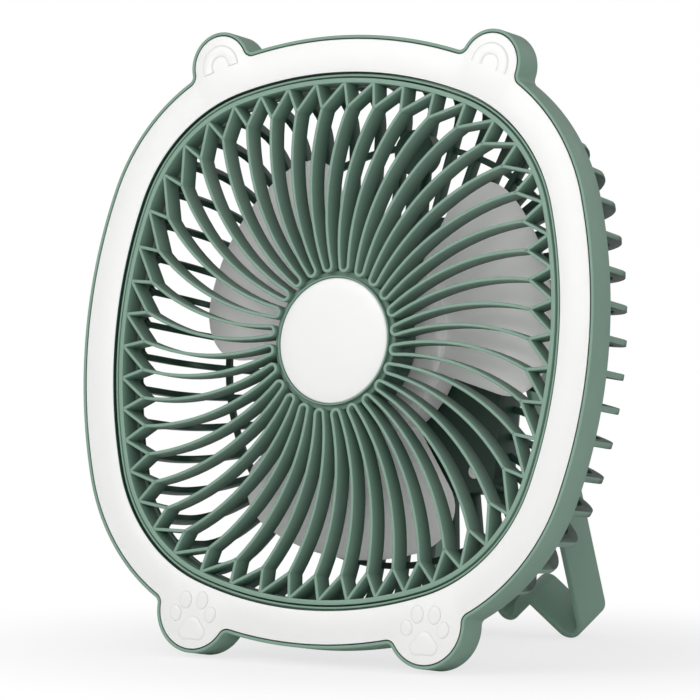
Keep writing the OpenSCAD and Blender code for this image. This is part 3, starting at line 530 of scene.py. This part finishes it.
class FAN_OT_panel(bpy.types.Operator):
    """Lit ring with ears and paws, its edges rounded, and its raised arches and paw prints"""
    bl_idname = "fan.panel"
    bl_label = "Light panel"

    def execute(self, context):
        size = context.scene.fan_face
        lobed, plain = lobed_line(size)
        band = size.band / MM
        inside = carried(plain, (
            (-band, PANEL_BACK), (-band, 0.3), (-band + 0.04, 0.12), (-band + 0.12, 0.04),
            (-band + 0.3, 0.0)))
        outside = carried(lobed, (
            (-0.2, 0.0), (0.0, 0.04), (0.08, 0.12), (0.12, 0.3), (0.12, PANEL_BACK)))
        shells = [shell(np.concatenate((inside, outside)))]
        for side in (-1.0, 1.0):
            shells += [shell(rows * (side, 1.0, 1.0), False) for rows in self.prints(size)]
        # painted shade: the panel's edge is coloured dark just behind its rounded front, in place of
        # the shade in the groove round it
        piece("ring_light_panel", shells, "light_panel", "white_panel", "white_panel_edged",
              deep=lambda points: (points[:, 2] - 0.1 * MM) / (0.12 * MM))
        return {"FINISHED"}

    def prints(self, size):
        """Rows of the right paw's four toes and pad, then of the right ear's arch."""
        oval = np.linspace(0, TURN, 40, endpoint=False)
        rows = []
        # toes: place, half width, half height and tilt
        for x, y, rx, ry, tilt in ((-7.2, -1.7, 2.4, 2.9, 12), (-3.4, 3.1, 2.6, 3.2, 4),
                                   (3.4, 3.1, 2.6, 3.2, -4), (7.2, -1.7, 2.4, 2.9, -12)):
            toe = np.column_stack((rx * np.cos(oval), ry * np.sin(oval)))
            rows.append(self.mound(size, turned(toe, np.radians(tilt)), (x, y)))
        # pad: three round lobes by centre, radius, first and last angle, about its middle
        middle = np.array((0.0, -7.0))
        lobes = (((0.0, -6.4), 4.0, 25, 155), ((-2.75, -7.9), 2.9, 150, 290),
                 ((2.75, -7.9), 2.9, -110, 30))
        pad = np.concatenate([np.array(c) + r * heading(np.radians(np.linspace(a, b, 14)))
                              for c, r, a, b in lobes])
        rows.append(self.mound(size, pad - middle, middle))
        paw, ear = (size.paw_x, -size.paw_y, 0.0), (size.ear_x, size.ear_y, 0.0)
        return [row + np.array(paw) for row in rows] + [self.arch(size) + np.array(ear)]

    def mound(self, size, outline, centre):
        """Rows of an outline shrunk towards its middle, high in the middle and sunk at the edge."""
        steps = ((1.0, 0.3), (0.96, -0.45), (0.88, -0.8), (0.74, -0.97), (0.5, -1.0))
        return np.array([at_depth((outline * scale + centre) * MM, depth * size.emboss)
                         for scale, depth in steps])

    def arch(self, size):
        """Rows of an ear's arch: a half round with short legs, its section flat and domed."""
        r, leg, half, tilt = 5.25, -1.4, 2.15, -20
        bow = np.vstack(((r, leg), r * heading(np.linspace(0, np.pi, 24)), (-r, leg)))
        across = half * np.array((-1.0, -0.93, -0.8, -0.6, 0.6, 0.8, 0.93, 1.0))
        depth = size.emboss * np.array((0.3, -0.5, -0.85, -1.0, -1.0, -0.85, -0.5, 0.3))
        rows = swept(turned(bow, np.radians(tilt)), np.column_stack((across, depth)))
        return rows * (MM, MM, 1.0)


class FAN_OT_bezel(bpy.types.Operator):
    """Green rim round the panel, tray behind it and the lip inside it"""
    bl_idname = "fan.bezel"
    bl_label = "Bezel"

    def execute(self, context):
        size, g = context.scene.fan_face, context.scene.fan_grille
        lobed, plain = lobed_line(size)
        inside, front = -g.lip_out / MM - 0.3, TRAY_BACK - 1.5
        tray = np.concatenate((carried(lobed, ((0.5, TRAY_BACK), (0.5, front))),
            carried(plain, ((inside, front), (inside, TRAY_BACK)))))
        piece("bezel_shell", [self.wall(size, lobed), self.lip(size, g), shell(tray)],
              "front_bezel", "green_plastic")
        return {"FINISHED"}

    def wall(self, size, lobed):
        """Rim: a groove beside the panel, a rounded front and outside, down to the rim's depth."""
        gap, groove, rim, deep = 0.15, 0.5, size.rim / MM, size.rim_depth / MM
        return shell(carried(lobed, (
            (gap, TRAY_BACK), (gap, PANEL_BACK + 0.2), (groove, PANEL_BACK - 0.1), (groove, 0.2),
            (groove + 0.06, 0.06), (groove + 0.2, 0.0), (rim - 0.45, 0.0), (rim - 0.2, 0.05),
            (rim - 0.05, 0.2), (rim - 0.01, 0.45), (rim - 0.01, deep - 0.5),
            (rim - 0.15, deep - 0.14), (rim - 0.5, deep), (0.35, deep), (gap, deep - 0.2))))

    def lip(self, size, g):
        """Thin lip round the opening, its front rounded, with the ledge that carries the grille."""
        out, inside, foot = -g.lip_out / MM, -g.lip_in / MM, -g.ring_in / MM
        top, under = g.front / MM + 0.2, PANEL_BACK + 1.0
        return shell(carried(even_line(size, OPENING_STEPS), (
            (out + 0.5, LEDGE_BACK), (out + 0.5, under), (out, under), (out, top + 0.2),
            (out - 0.06, top + 0.06), (out - 0.2, top), (inside + 0.2, top),
            (inside + 0.06, top + 0.06), (inside, top + 0.2), (inside, TRAY_BACK),
            (foot, TRAY_BACK), (foot, LEDGE_BACK))))


class FAN_OT_grille(bpy.types.Operator):
    """Spiral grille: looped ribs, forked struts, outer ring and the hub's cup"""
    bl_idname = "fan.grille"
    bl_label = "Spiral grille"

    rib_round = 0.3 * MM    # radius of a rib's front edges
    # painted shade: over this depth the ribs' sides are coloured darker in place of their shade
    shade = 4 * MM          # depth over which a rib's sides darken

    def execute(self, context):
        size, g = context.scene.fan_face, context.scene.fan_grille
        ends, forks, feet = self.forks(size, g)
        section = rounded_section(g.rib_w, g.front, g.back, self.rib_round)
        shells = [shell(swept(self.loop(g, i, ends), section), False) for i in range(0, g.ribs, 2)]
        stations = np.array(((-0.02,), (0.5,), (1.0,)))
        for i in range(g.ribs):
            for foot in (feet[i], feet[i - 1]):
                strut = swept(forks[i] + (foot - forks[i]) * stations, section)
                shells.append(shell(strut, False))
        shells += [self.ring(size, g), self.cup(g)]
        # painted shade: the ribs' sides are coloured darker from just behind their fronts, in place
        # of the shade between them
        piece("spiral_grille", shells, "front_grille", "green_plastic", "green_ribs",
              deep=lambda points: 0.95 * np.clip(
                  (points[:, 2] - g.front - self.rib_round) / self.shade, 0, 1))
        return {"FINISHED"}

    def rib(self, g, k, radius):
        """Points of rib k at distances from the hub: an arc whose centre steps round with k."""
        turn = g.arc_start + k * TURN / g.ribs
        swing = np.arccos((radius ** 2 + g.arc_centre ** 2 - g.arc_r ** 2)
                          / (2 * radius * g.arc_centre))
        return radius[..., None] * heading(turn + swing)

    def forks(self, size, g):
        """Where each rib ends on the line of the forks, and each strut's foot inside the ring."""
        k = np.arange(g.ribs)
        reach = np.linspace(50.0, 100.0, 4001) * MM
        limit = reach_to(size, -g.fork, bearing(self.rib(g, k[:, None], reach[None, :])))
        ends = reach[np.argmax(reach[None, :] > limit, axis=1)]
        forks = self.rib(g, k, ends)
        ahead = bearing(forks) + g.lead
        feet = reach_to(size, -g.ring_in + 0.3 * MM, ahead)[:, None] * heading(ahead)
        return ends, forks, feet

    def loop(self, g, i, ends):
        """Path of two ribs joined by a half oval nose at the hub."""
        share = np.linspace(0.0, 1.0, 15)
        one = self.rib(g, i, g.loop_r + (ends[i] - g.loop_r) * share)
        two = self.rib(g, i + 1, g.loop_r + (ends[i + 1] - g.loop_r) * share)
        p, q = one[0], two[0]
        out = (one[1] - p) / np.hypot(*(one[1] - p)) + (two[1] - q) / np.hypot(*(two[1] - q))
        out /= np.hypot(*out)
        across = np.array((-out[1], out[0]))
        half = (q - p) @ across / 2
        turn = np.linspace(0, np.pi, 11)[1:-1, None]
        nose = (p + q) / 2 - np.cos(turn) * half * across - np.sin(turn) * abs(half) * out
        return np.concatenate((one[::-1], nose, two))

    def ring(self, size, g):
        """Ring that carries the struts, a little proud of them, its front edges rounded."""
        out, inside = -g.ring_out / MM, -g.ring_in / MM
        front, back = g.front / MM, g.back / MM
        top, bend = front - 0.2, front - 0.15
        return shell(carried(even_line(size, OPENING_STEPS), (
            (out, back), (out, front), (out - 0.05, bend), (out - 0.2, top), (inside + 0.2, top),
            (inside + 0.05, bend), (inside, front), (inside, back))))

    def cup(self, g):
        """Hub: a thin collar round the cap, a front wall and the cup behind it."""
        cap, face = g.cap_r / MM, g.cap_front / MM
        behind, out, inside, floor, back = face + 1.5, 24.3, 21.9, 5.2, 17.0
        return shell(carried(circle(), (
            (cap + 0.15, behind), (cap + 0.15, face + 0.15), (cap + 0.25, face), (cap + 0.6, face),
            (cap + 0.75, face + 0.15), (cap + 0.75, behind), (out - 0.3, behind),
            (out, behind + 0.3), (out, back - 0.4), (out - 0.4, back), (inside + 0.4, back),
            (inside, back - 0.4), (inside, floor), (2.0, floor), (2.0, behind))))


class FAN_OT_cap(bpy.types.Operator):
    """Bare white hub cap, slightly crowned, with a rounded edge"""
    bl_idname = "fan.cap"
    bl_label = "Hub cap"

    def execute(self, context):
        g = context.scene.fan_grille
        r, front, thick, fall = g.cap_r / MM, g.cap_front / MM, 1.5, 0.22
        edge = [(0.05 * r, front + thick), (r, front + thick), (r, front + thick / 2),
                (r - 0.1, front + 0.5), (r - 0.3, front + 0.3)]
        crown = [(x, front + fall * (x / r) ** 2)
                 for x in (r - 0.7, 0.8 * r, 0.6 * r, 0.4 * r, 0.2 * r, 0.05 * r)]
        piece("hub_cap_face", [shell(carried(circle(), edge + crown), False)],
              "hub_cap", "white_panel")
        return {"FINISHED"}


class FAN_OT_impeller(bpy.types.Operator):
    """Three-blade impeller with rounded blade corners and a smooth hub"""
    bl_idname = "fan.impeller"
    bl_label = "Impeller"

    def execute(self, context):
        b = context.scene.fan_body
        radius, angle, depth = self.blade(b)
        shells = []
        for i in range(3):
            way = angle + b.blade_start + i * TURN / 3
            rows = np.stack((radius * np.cos(way), radius * np.sin(way), depth), -1)
            shells.append(shell(rows, False))
        shells.append(self.hub(b))
        piece("three_blade_impeller", shells, "impeller", "grey_plastic", body="rotor")
        return {"FINISHED"}

    def blade(self, b):
        """Radius, angle and depth over a blade: out from root to tip, along there and back.

        The half angle shrinks in a quarter oval near the tip, and depth rises with the angle.
        """
        tip_run = np.sin(np.linspace(0, np.pi / 2, 12)[1:])
        out = np.concatenate((np.linspace(0, 0.6, 7), 0.6 + 0.4 * tip_run))[:, None]
        turn = np.linspace(0, TURN, 56, endpoint=False)
        along = 0.5 - 0.5 * np.cos(turn)
        side = np.sign(np.sin(turn)) * (1 - (2 * along - 1) ** 4) ** 0.5
        tip = np.clip((out - 0.62) / 0.38, 0, 1)
        half = b.blade_span / 2 * (1 - 0.42 * (1 - np.sqrt(1 - tip ** 2)))
        root = b.hub_r - 1 * MM
        radius = root + (b.blade_r - root) * out
        angle = half * (2 * along - 1)
        body = 0.9 * MM * (1 - 0.25 * out) * np.sqrt(np.clip(1 - out ** 12, 0.02, 1))
        rise = b.blade_rise * (0.8 + 0.2 * out) * angle / b.blade_span
        return radius, angle, SPIN_DEPTH + rise - side * body

    def hub(self, b):
        """Hub: a dished front with a rounded shoulder, a wall and a bush round the shaft."""
        r, front, back = b.hub_r / MM, 22.5, 34.5
        inside, under = r - 2.0, front + 3.0
        return shell(carried(circle(), (
            (0.4, front), (4.0, front), (5.0, front + 0.4), (14.0, front + 0.4), (15.0, front),
            (r - 4, front), (r - 1.8, front + 0.4), (r - 0.5, front + 1.4), (r, front + 2.9),
            (r, back - 0.3), (r - 0.3, back), (inside + 0.3, back), (inside, back - 0.3),
            (inside, under), (5.0, under), (5.0, back), (0.4, back))), False)


class FAN_OT_housing(bpy.types.Operator):
    """Rear housing: flange, side wall, slanted bars, tie ring, screw boss and motor box"""
    bl_idname = "fan.housing"
    bl_label = "Rear housing"

    def execute(self, context):
        size, b = context.scene.fan_face, context.scene.fan_body
        foot, inward = self.feet(size, b)
        shells = [self.flange(size, context.scene.fan_grille), *self.bar_shells(b, foot, inward),
                  self.side_wall(size, b, foot, inward), self.tie_ring(b), *self.boss(b),
                  self.motor_box(b)]
        # painted shade: the bars' sides and the parts low inside the housing are coloured darker in
        # place of their shade
        piece("slotted_rear_housing", shells, "rear_housing", "green_plastic", "green_ribs",
              deep=lambda points: self.low(size, b, points))
        return {"FINISHED"}

    def wall_inset(self, size, b, depth):
        """Fall of the side wall's outside: step + wall_draft t, t from the rim to the end."""
        return b.step + b.wall_draft * (depth - size.rim_depth) / (b.wall_back - size.rim_depth)

    def inset(self, b, depth):
        """Fall of the bars' outside: a draft from the wall's end, then a quarter circle."""
        past = np.clip(depth - b.back + b.shoulder, 0, b.shoulder)
        return (b.step + b.wall_draft + b.draft * (depth - b.wall_back) / (b.back - b.wall_back)
                + b.shoulder - np.sqrt(b.shoulder ** 2 - past ** 2))

    def feet(self, size, b):
        """Bars' feet at even angles on the panel's outline, and the bars' unit vectors inwards.

        Inwards is against the outline's normal, less the slant.
        """
        line = even_line(size, DENSE_STEPS)
        angle = b.bar_start + np.arange(b.bars) * TURN / b.bars
        lean = np.interp(angle, bearing(offset(line, 0.0)), line[2], period=TURN) - b.slant
        foot = reach_to(size, 0.0, angle)[:, None] * heading(angle)
        return foot, -heading(lean)

    def flange(self, size, g):
        """Flat flange between the bezel's ledge and the side wall."""
        lobed, plain = lobed_line(size)
        edge = offset(lobed, -0.08 * MM)
        inside = offset(plain, -g.ring_in)
        back, front = size.rim_depth, LEDGE_BACK * MM
        return shell([at_depth(edge, back), at_depth(edge, front),
                      at_depth(inside, front), at_depth(inside, back)])

    def bar_shells(self, b, foot, inward):
        """Bars from the side wall to the motor box, each on a path of way inwards and depth."""
        share = np.linspace(0, 1, 15)
        start, flat_depth = b.wall_back - 4 * MM, b.back - b.bar_h / 2
        deep = start + (flat_depth - start) * np.sin(share * np.pi / 2)
        way = self.inset(b, deep + b.bar_h / 2 * share) + b.bar_h / 2
        depths = np.concatenate((deep, np.full(3, flat_depth)))
        reach = np.linspace(40, 110, 281) * MM
        beside = np.abs(foot[:, None] + reach[:, None] * inward[:, None]).max(-1)
        end = reach[np.argmax(beside < b.box_half - 1 * MM, axis=1)]
        section = offset(rounded_rectangle(b.bar_h, b.bar_t, 0.3 * MM, 3), 0.0)
        shells = []
        for i in range(b.bars):
            last = way[-1] + (end[i] - way[-1]) * np.array((0.34, 0.67, 1.0))
            path = np.column_stack((np.append(way, last), depths))
            x, y = inward[i]
            lie = np.array(((x, y, 0.0), (0.0, 0.0, 1.0), (-y, x, 0.0)))
            shells.append(shell(swept(path, section) @ lie + (*foot[i], 0.0), False))
        return shells

    def side_wall(self, size, b, foot, inward):
        """Side wall: level between two bars at its rear, rising in a quarter circle into each."""
        line = even_line(size, b.bars * 24)
        front, corner, bend = 11.5 * MM, 2 * MM, 0.35 * MM
        rim = offset(line, -self.wall_inset(size, b, b.wall_back))
        root = foot + (b.step + b.wall_draft + b.wall / 2) * inward
        gap = np.hypot(*(np.roll(root, -1, axis=0) - root).T)
        roots = np.append((bearing(root) - bearing(root[0])) % TURN, TURN)
        slot = np.interp((bearing(rim) - bearing(root[0])) % TURN, roots, np.arange(b.bars + 1))
        half = (gap[slot.astype(int) % b.bars] - b.bar_t) / 2
        away = np.abs(slot - np.floor(slot) - 0.5) * 2 * (half + b.bar_t / 2)
        past = np.clip(away - half + corner, 0, corner)
        edge = b.wall_back + corner - np.sqrt(corner ** 2 - past ** 2)

        def row(part, inwards=0.0):
            depth = front + (edge - front) * part
            return at_depth(offset(line, -self.wall_inset(size, b, depth) - inwards), depth)
        return shell([row(part) for part in (0.0, 0.2, 0.4, 0.6, 0.8, 0.96)]
                     + [row(1.0, bend), row(1.0, b.wall - bend)]
                     + [row(part, b.wall) for part in (0.96, 0.6, 0.3, 0.0)])

    def tie_ring(self, b):
        """Ring that ties the bars together near the back."""
        back = b.back / MM
        return shell(carried(circle(160, radius=b.tie_r), (
            (1.1, back - 2.4), (1.1, back - 0.8), (0.7, back - 0.4), (-0.7, back - 0.4),
            (-1.1, back - 0.8), (-1.1, back - 2.4), (-0.8, back - 2.7), (0.8, back - 2.7))))

    def boss(self, b):
        """Screw boss on the tie ring, countersunk in steps, and its strut to the motor box."""
        back, r = b.back / MM, 8.0
        front = back - 7.0
        boss = shell(carried(circle(48, (0.0, b.boss_y)), (
            (1.3, front), (r - 0.4, front), (r, front + 0.4), (r, back - 0.8),
            (r - 0.6, back - 0.2), (3.2, back - 0.2), (2.8, back - 0.6), (2.6, back - 2.0),
            (1.3, back - 2.0))))
        centre, radius, angle = rounded_rectangle(9 * MM, b.boss_y - b.box_half, 1 * MM)
        middle = (b.boss_y + b.box_half) / 2 - 0.5 * MM
        strut = shell(carried((centre + (0.0, middle), radius, angle), (
            (0.0, back - 2.0), (0.0, back - 0.8), (-0.5, back - 0.3))), False)
        return boss, strut

    def motor_box(self, b):
        """Square motor box, open in front, with a rounded rear edge and an opening behind."""
        outer = rounded_rectangle(2 * b.box_half, 2 * b.box_half, 6 * MM)
        hole = rounded_rectangle(37 * MM, 68 * MM, 4 * MM)
        wall, front, back = b.wall / MM, 39.5, BOX_BACK
        rear_edge = (0.0, back - 1.2), (-0.35, back - 0.35), (-1.2, back)
        return shell(np.concatenate((
            carried(outer, ((-wall, front), (0.0, front), *rear_edge)),
            carried(hole, ((0.0, back), (0.0, back - wall))),
            carried(outer, ((-wall, back - wall),)))))

    def low(self, size, b, points):
        """Weight of painted shade: how far points lie below the bars' outside, in steps of 0.2 mm
        past the first 0.1 mm.
        """
        reach = reach_to(size, 0.0, bearing(points))
        fall = reach - np.hypot(points[:, 0], points[:, 1]) - self.inset(b, points[:, 2])
        return (np.minimum(fall, b.back - points[:, 2]) - 0.1 * MM) / (0.2 * MM)


class FAN_OT_box(bpy.types.Operator):
    """Battery box with rounded upright edges"""
    bl_idname = "fan.box"
    bl_label = "Battery box"

    def execute(self, context):
        b = context.scene.fan_body
        outer = rounded_rectangle(2 * b.pod_half, 2 * b.pod_tall, 4 * MM)
        front, back = BOX_BACK, 84.0
        rows = carried(outer, (
            (-2.0, front), (0.0, front), (0.0, back - 0.3), (-0.3, back), (-2.0, back)))
        piece("battery_box_shell", [shell(rows)], "battery_box", "green_plastic")
        return {"FINISHED"}


class FAN_OT_stand(bpy.types.Operator):
    """Folding stand: one strap with round legs' ends, two feet, two crests and a hook seat"""
    bl_idname = "fan.stand"
    bl_label = "Stand"

    def execute(self, context):
        b = context.scene.fan_body
        path, width = self.strap(b)
        # its section: thickness, the side it lies on and the rounding's pull from that side
        corners = rounded_rectangle(b.strap_t, 0.0, 0.5 * MM, 4)
        thick, pull = offset(corners, 0.0).T
        flat = path[:, None, :] + thick[None, :, None] * left_of(path)[:, None, :]
        width = width[:, None]
        across = -width * np.sign(corners[0][:, 1]) + pull * np.minimum(1.0, width / (2 * MM))
        # the strap's plane, turned about the hinge by the opening angle
        s, c = np.sin(STAND_OPEN), np.cos(STAND_OPEN)
        x, up, deep = LEAN @ np.array(HINGE - FACE)
        rows = np.stack((flat[..., 0], up + flat[..., 1] * c + across * s,
                         deep - flat[..., 1] * s + across * c), -1)
        piece("strap_stand", [shell(rows, False)], "stand", "green_plastic", body="stand_body")
        return {"FINISHED"}

    def bend(self, b):
        """Middle line of the strap's end: foot, crest and seat arcs joined by straight tangents."""
        foot_r, crest_r, seat_r = 4.8 * MM, 3.6 * MM, 3.3 * MM
        foot = np.array((b.stand_half - b.strap_t / 2 - foot_r, foot_r - b.stand_len))
        crest = np.array((8.0 * MM, 10.0 * MM - b.stand_len))
        seat = np.array((0.0, 9.1 * MM - b.stand_len))
        rise, drop = crest - foot, seat - crest
        a = bearing(rise) + np.arccos((foot_r + crest_r) / np.hypot(*rise)) - TURN
        c = bearing(drop) - np.arccos((crest_r + seat_r) / np.hypot(*drop))
        arcs = ((foot, foot_r, 0.0, a, 14), (crest, crest_r, a - np.pi, c, 14),
                (seat, seat_r, c + np.pi, -np.pi / 2, 8))
        return np.concatenate([p + r * heading(np.linspace(start, end, n))
                               for p, r, start, end, n in arcs])

    def strap(self, b):
        """The whole middle line, leg to leg, and the strap's half width along it.

        A leg's end is a half circle about the pivot: width sqrt(top^2 - lift^2) at the height lift.
        """
        top, x = b.strap_w / 2, b.stand_half - b.strap_t / 2
        lift = top * np.sin(np.linspace(np.pi / 2, 0, 12))
        down = np.linspace(0, 6 * MM - b.stand_len, 7)[1:]
        leg = np.column_stack((np.full(18, x), np.concatenate((lift, down))))
        half = np.vstack((leg, self.bend(b)))
        width = np.full(len(half), top)
        width[:12] = np.sqrt(np.clip(top ** 2 - lift ** 2, (0.3 * MM) ** 2, None))
        return np.vstack((half, half[-2::-1] * (-1.0, 1.0))), np.append(width, width[-2::-1])


class FAN_OT_small_parts(bpy.types.Operator):
    """Finishes of the solids that show as they are"""
    bl_idname = "fan.small_parts"
    bl_label = "Small parts"

    def execute(self, context):
        made = finishes()
        for entry in frame["record"]["subparts"]:
            solid = frame["nodes"][entry["node"]]
            solid.data.materials.clear()
            solid.data.materials.append(made[entry["material_slot"]])
        return {"FINISHED"}


# ---- stage

class FAN_OT_stage(bpy.types.Operator):
    """Pale floor, soft lamps, white surroundings and the camera"""
    bl_idname = "fan.stage"
    bl_label = "Stage"

    # name, place, width and power of each round lamp
    lamps = (("key", (-0.7, -1.4, 0.8), 0.8, 7.4), ("fill", (0.9, -1.4, 0.4), 0.6, 7.3),
             ("back", (0.6, 1.3, 0.9), 0.9, 1.5))
    lit_point = Vector((0.0, 0.0, 0.1))
    world_light = 0.42

    def execute(self, context):
        scene = context.scene
        scene.view_settings.view_transform = "Standard"
        self.floor(scene)
        self.surroundings(scene)
        for name, place, size, power in self.lamps:
            lamp = bpy.data.lights.new(name, "AREA")
            lamp.shape, lamp.size, lamp.energy = "DISK", size, power
            holder = bpy.data.objects.new(name, lamp)
            holder.location = place
            aim = self.lit_point - Vector(place)
            holder.rotation_euler = aim.to_track_quat("-Z", "Y").to_euler()
            scene.collection.objects.link(holder)
        self.camera(scene)
        return {"FINISHED"}

    def camera(self, scene):
        """Long lens in front and to the right, a little above, aimed beside the face's middle."""
        turn, lift, roll = np.radians((32.474, 1.99, 0.41)).tolist()
        distance, aside, down = 1.6155, 0.00686, 0.00353
        back = Vector((np.sin(turn) * np.cos(lift), -np.cos(turn) * np.cos(lift), np.sin(lift)))
        level = back.cross(Vector((0, 0, -1))).normalized()
        upright = back.cross(level)
        right = level * np.cos(roll) + upright * np.sin(roll)
        up = upright * np.cos(roll) - level * np.sin(roll)
        lens = bpy.data.cameras.new("camera")
        lens.lens, lens.sensor_width, lens.clip_end = 242.6, 36.0, 50.0
        camera = bpy.data.objects.new("camera", lens)
        camera.matrix_world = Matrix((right, up, back)).transposed().to_4x4()
        camera.location = FACE + aside * right - down * up + distance * back
        scene.collection.objects.link(camera)
        scene.camera = camera

    def floor(self, scene):
        """Round floor that turns to plain white away from the fan."""
        edge = at_depth(6.0 * heading(np.linspace(0, TURN, 96, endpoint=False)), 0.0)
        mesh = bpy.data.meshes.new("floor")
        mesh.from_pydata(edge.tolist(), [], [list(range(len(edge)))])
        floor = bpy.data.objects.new("floor", mesh)
        scene.collection.objects.link(floor)
        material, shader, where = nodes_of("floor_paper")
        fill(shader, {"Base Color": (0.95, 0.95, 0.95, 1.0), "Roughness": 0.8,
                      "Specular IOR Level": 0.2})
        bump(shader, noise(where, 300.0), 0.02, 0.1 * MM)
        away = node(where, "VectorMath", {0: where}, operation="LENGTH")["Value"]
        fade = node(where, "MapRange", {"From Min": 0.06, "From Max": 0.22, "To Min": 0.72,
                                        "Value": away}, interpolation_type="SMOOTHSTEP")["Result"]
        seen = node(where, "LightPath", {})["Is Camera Ray"]
        share = node(where, "Math", {0: fade, 1: seen}, operation="MULTIPLY")["Value"]
        white = node(where, "Emission", {})["Emission"]
        self.mixed(share, shader.outputs["BSDF"], white, "Material Output")
        mesh.materials.append(material)

    def surroundings(self, scene):
        """White to the camera and through clear parts, and a softer white as light."""
        world = scene.world or bpy.data.worlds.new("surroundings")
        scene.world = world
        world.use_nodes = True
        light, white = world.node_tree.nodes["Background"], (1.0, 1.0, 1.0, 1.0)
        fill(light, {"Color": white, "Strength": self.world_light})
        plain = node(light, "Background", {"Color": white})["Background"]
        rays = node(light, "LightPath", {})
        share = node(light, "Math", {0: rays["Is Camera Ray"], 1: rays["Is Transmission Ray"]},
                     operation="MAXIMUM")["Value"]
        self.mixed(share, light.outputs["Background"], plain, "World Output")

    def mixed(self, share, first, second, output):
        """Two shaders mixed by a share into the tree's output."""
        both = node(share, "MixShader", {"Fac": share, 1: first, 2: second})["Shader"]
        fill(share.id_data.nodes[output], {"Surface": both})


# ---- add-on

OPERATORS = (FAN_OT_small_parts, FAN_OT_panel, FAN_OT_bezel, FAN_OT_grille, FAN_OT_cap,
             FAN_OT_impeller, FAN_OT_housing, FAN_OT_box, FAN_OT_stand, FAN_OT_stage)
GROUPS = {"fan_face": FanFaceSizes, "fan_grille": FanGrilleSizes, "fan_body": FanBodySizes,
          "fan_colours": FanColours}


class FAN_PT_panel(bpy.types.Panel):
    """Buttons for the fan's pieces and its stage"""
    bl_idname = "FAN_PT_panel"
    bl_label = "Camping Fan"
    bl_space_type = "VIEW_3D"
    bl_region_type = "UI"
    bl_category = "Camping Fan"

    def draw(self, context):
        for operator in OPERATORS:
            self.layout.operator(operator.bl_idname)


def register():
    """Register the settings, operators and panel."""
    for kind in (*GROUPS.values(), *OPERATORS, FAN_PT_panel):
        bpy.utils.register_class(kind)
    for name, kind in GROUPS.items():
        setattr(bpy.types.Scene, name, bpy.props.PointerProperty(type=kind))


def unregister():
    """Remove what register added."""
    for name in GROUPS:
        delattr(bpy.types.Scene, name)
    for kind in (FAN_PT_panel, *reversed(OPERATORS), *reversed(GROUPS.values())):
        bpy.utils.unregister_class(kind)


def main():
    """Build every piece and the stage."""
    register()
    for operator in OPERATORS:
        group, name = operator.bl_idname.split(".")
        getattr(getattr(bpy.ops, group), name)()


if __name__ == "__main__":
    main()
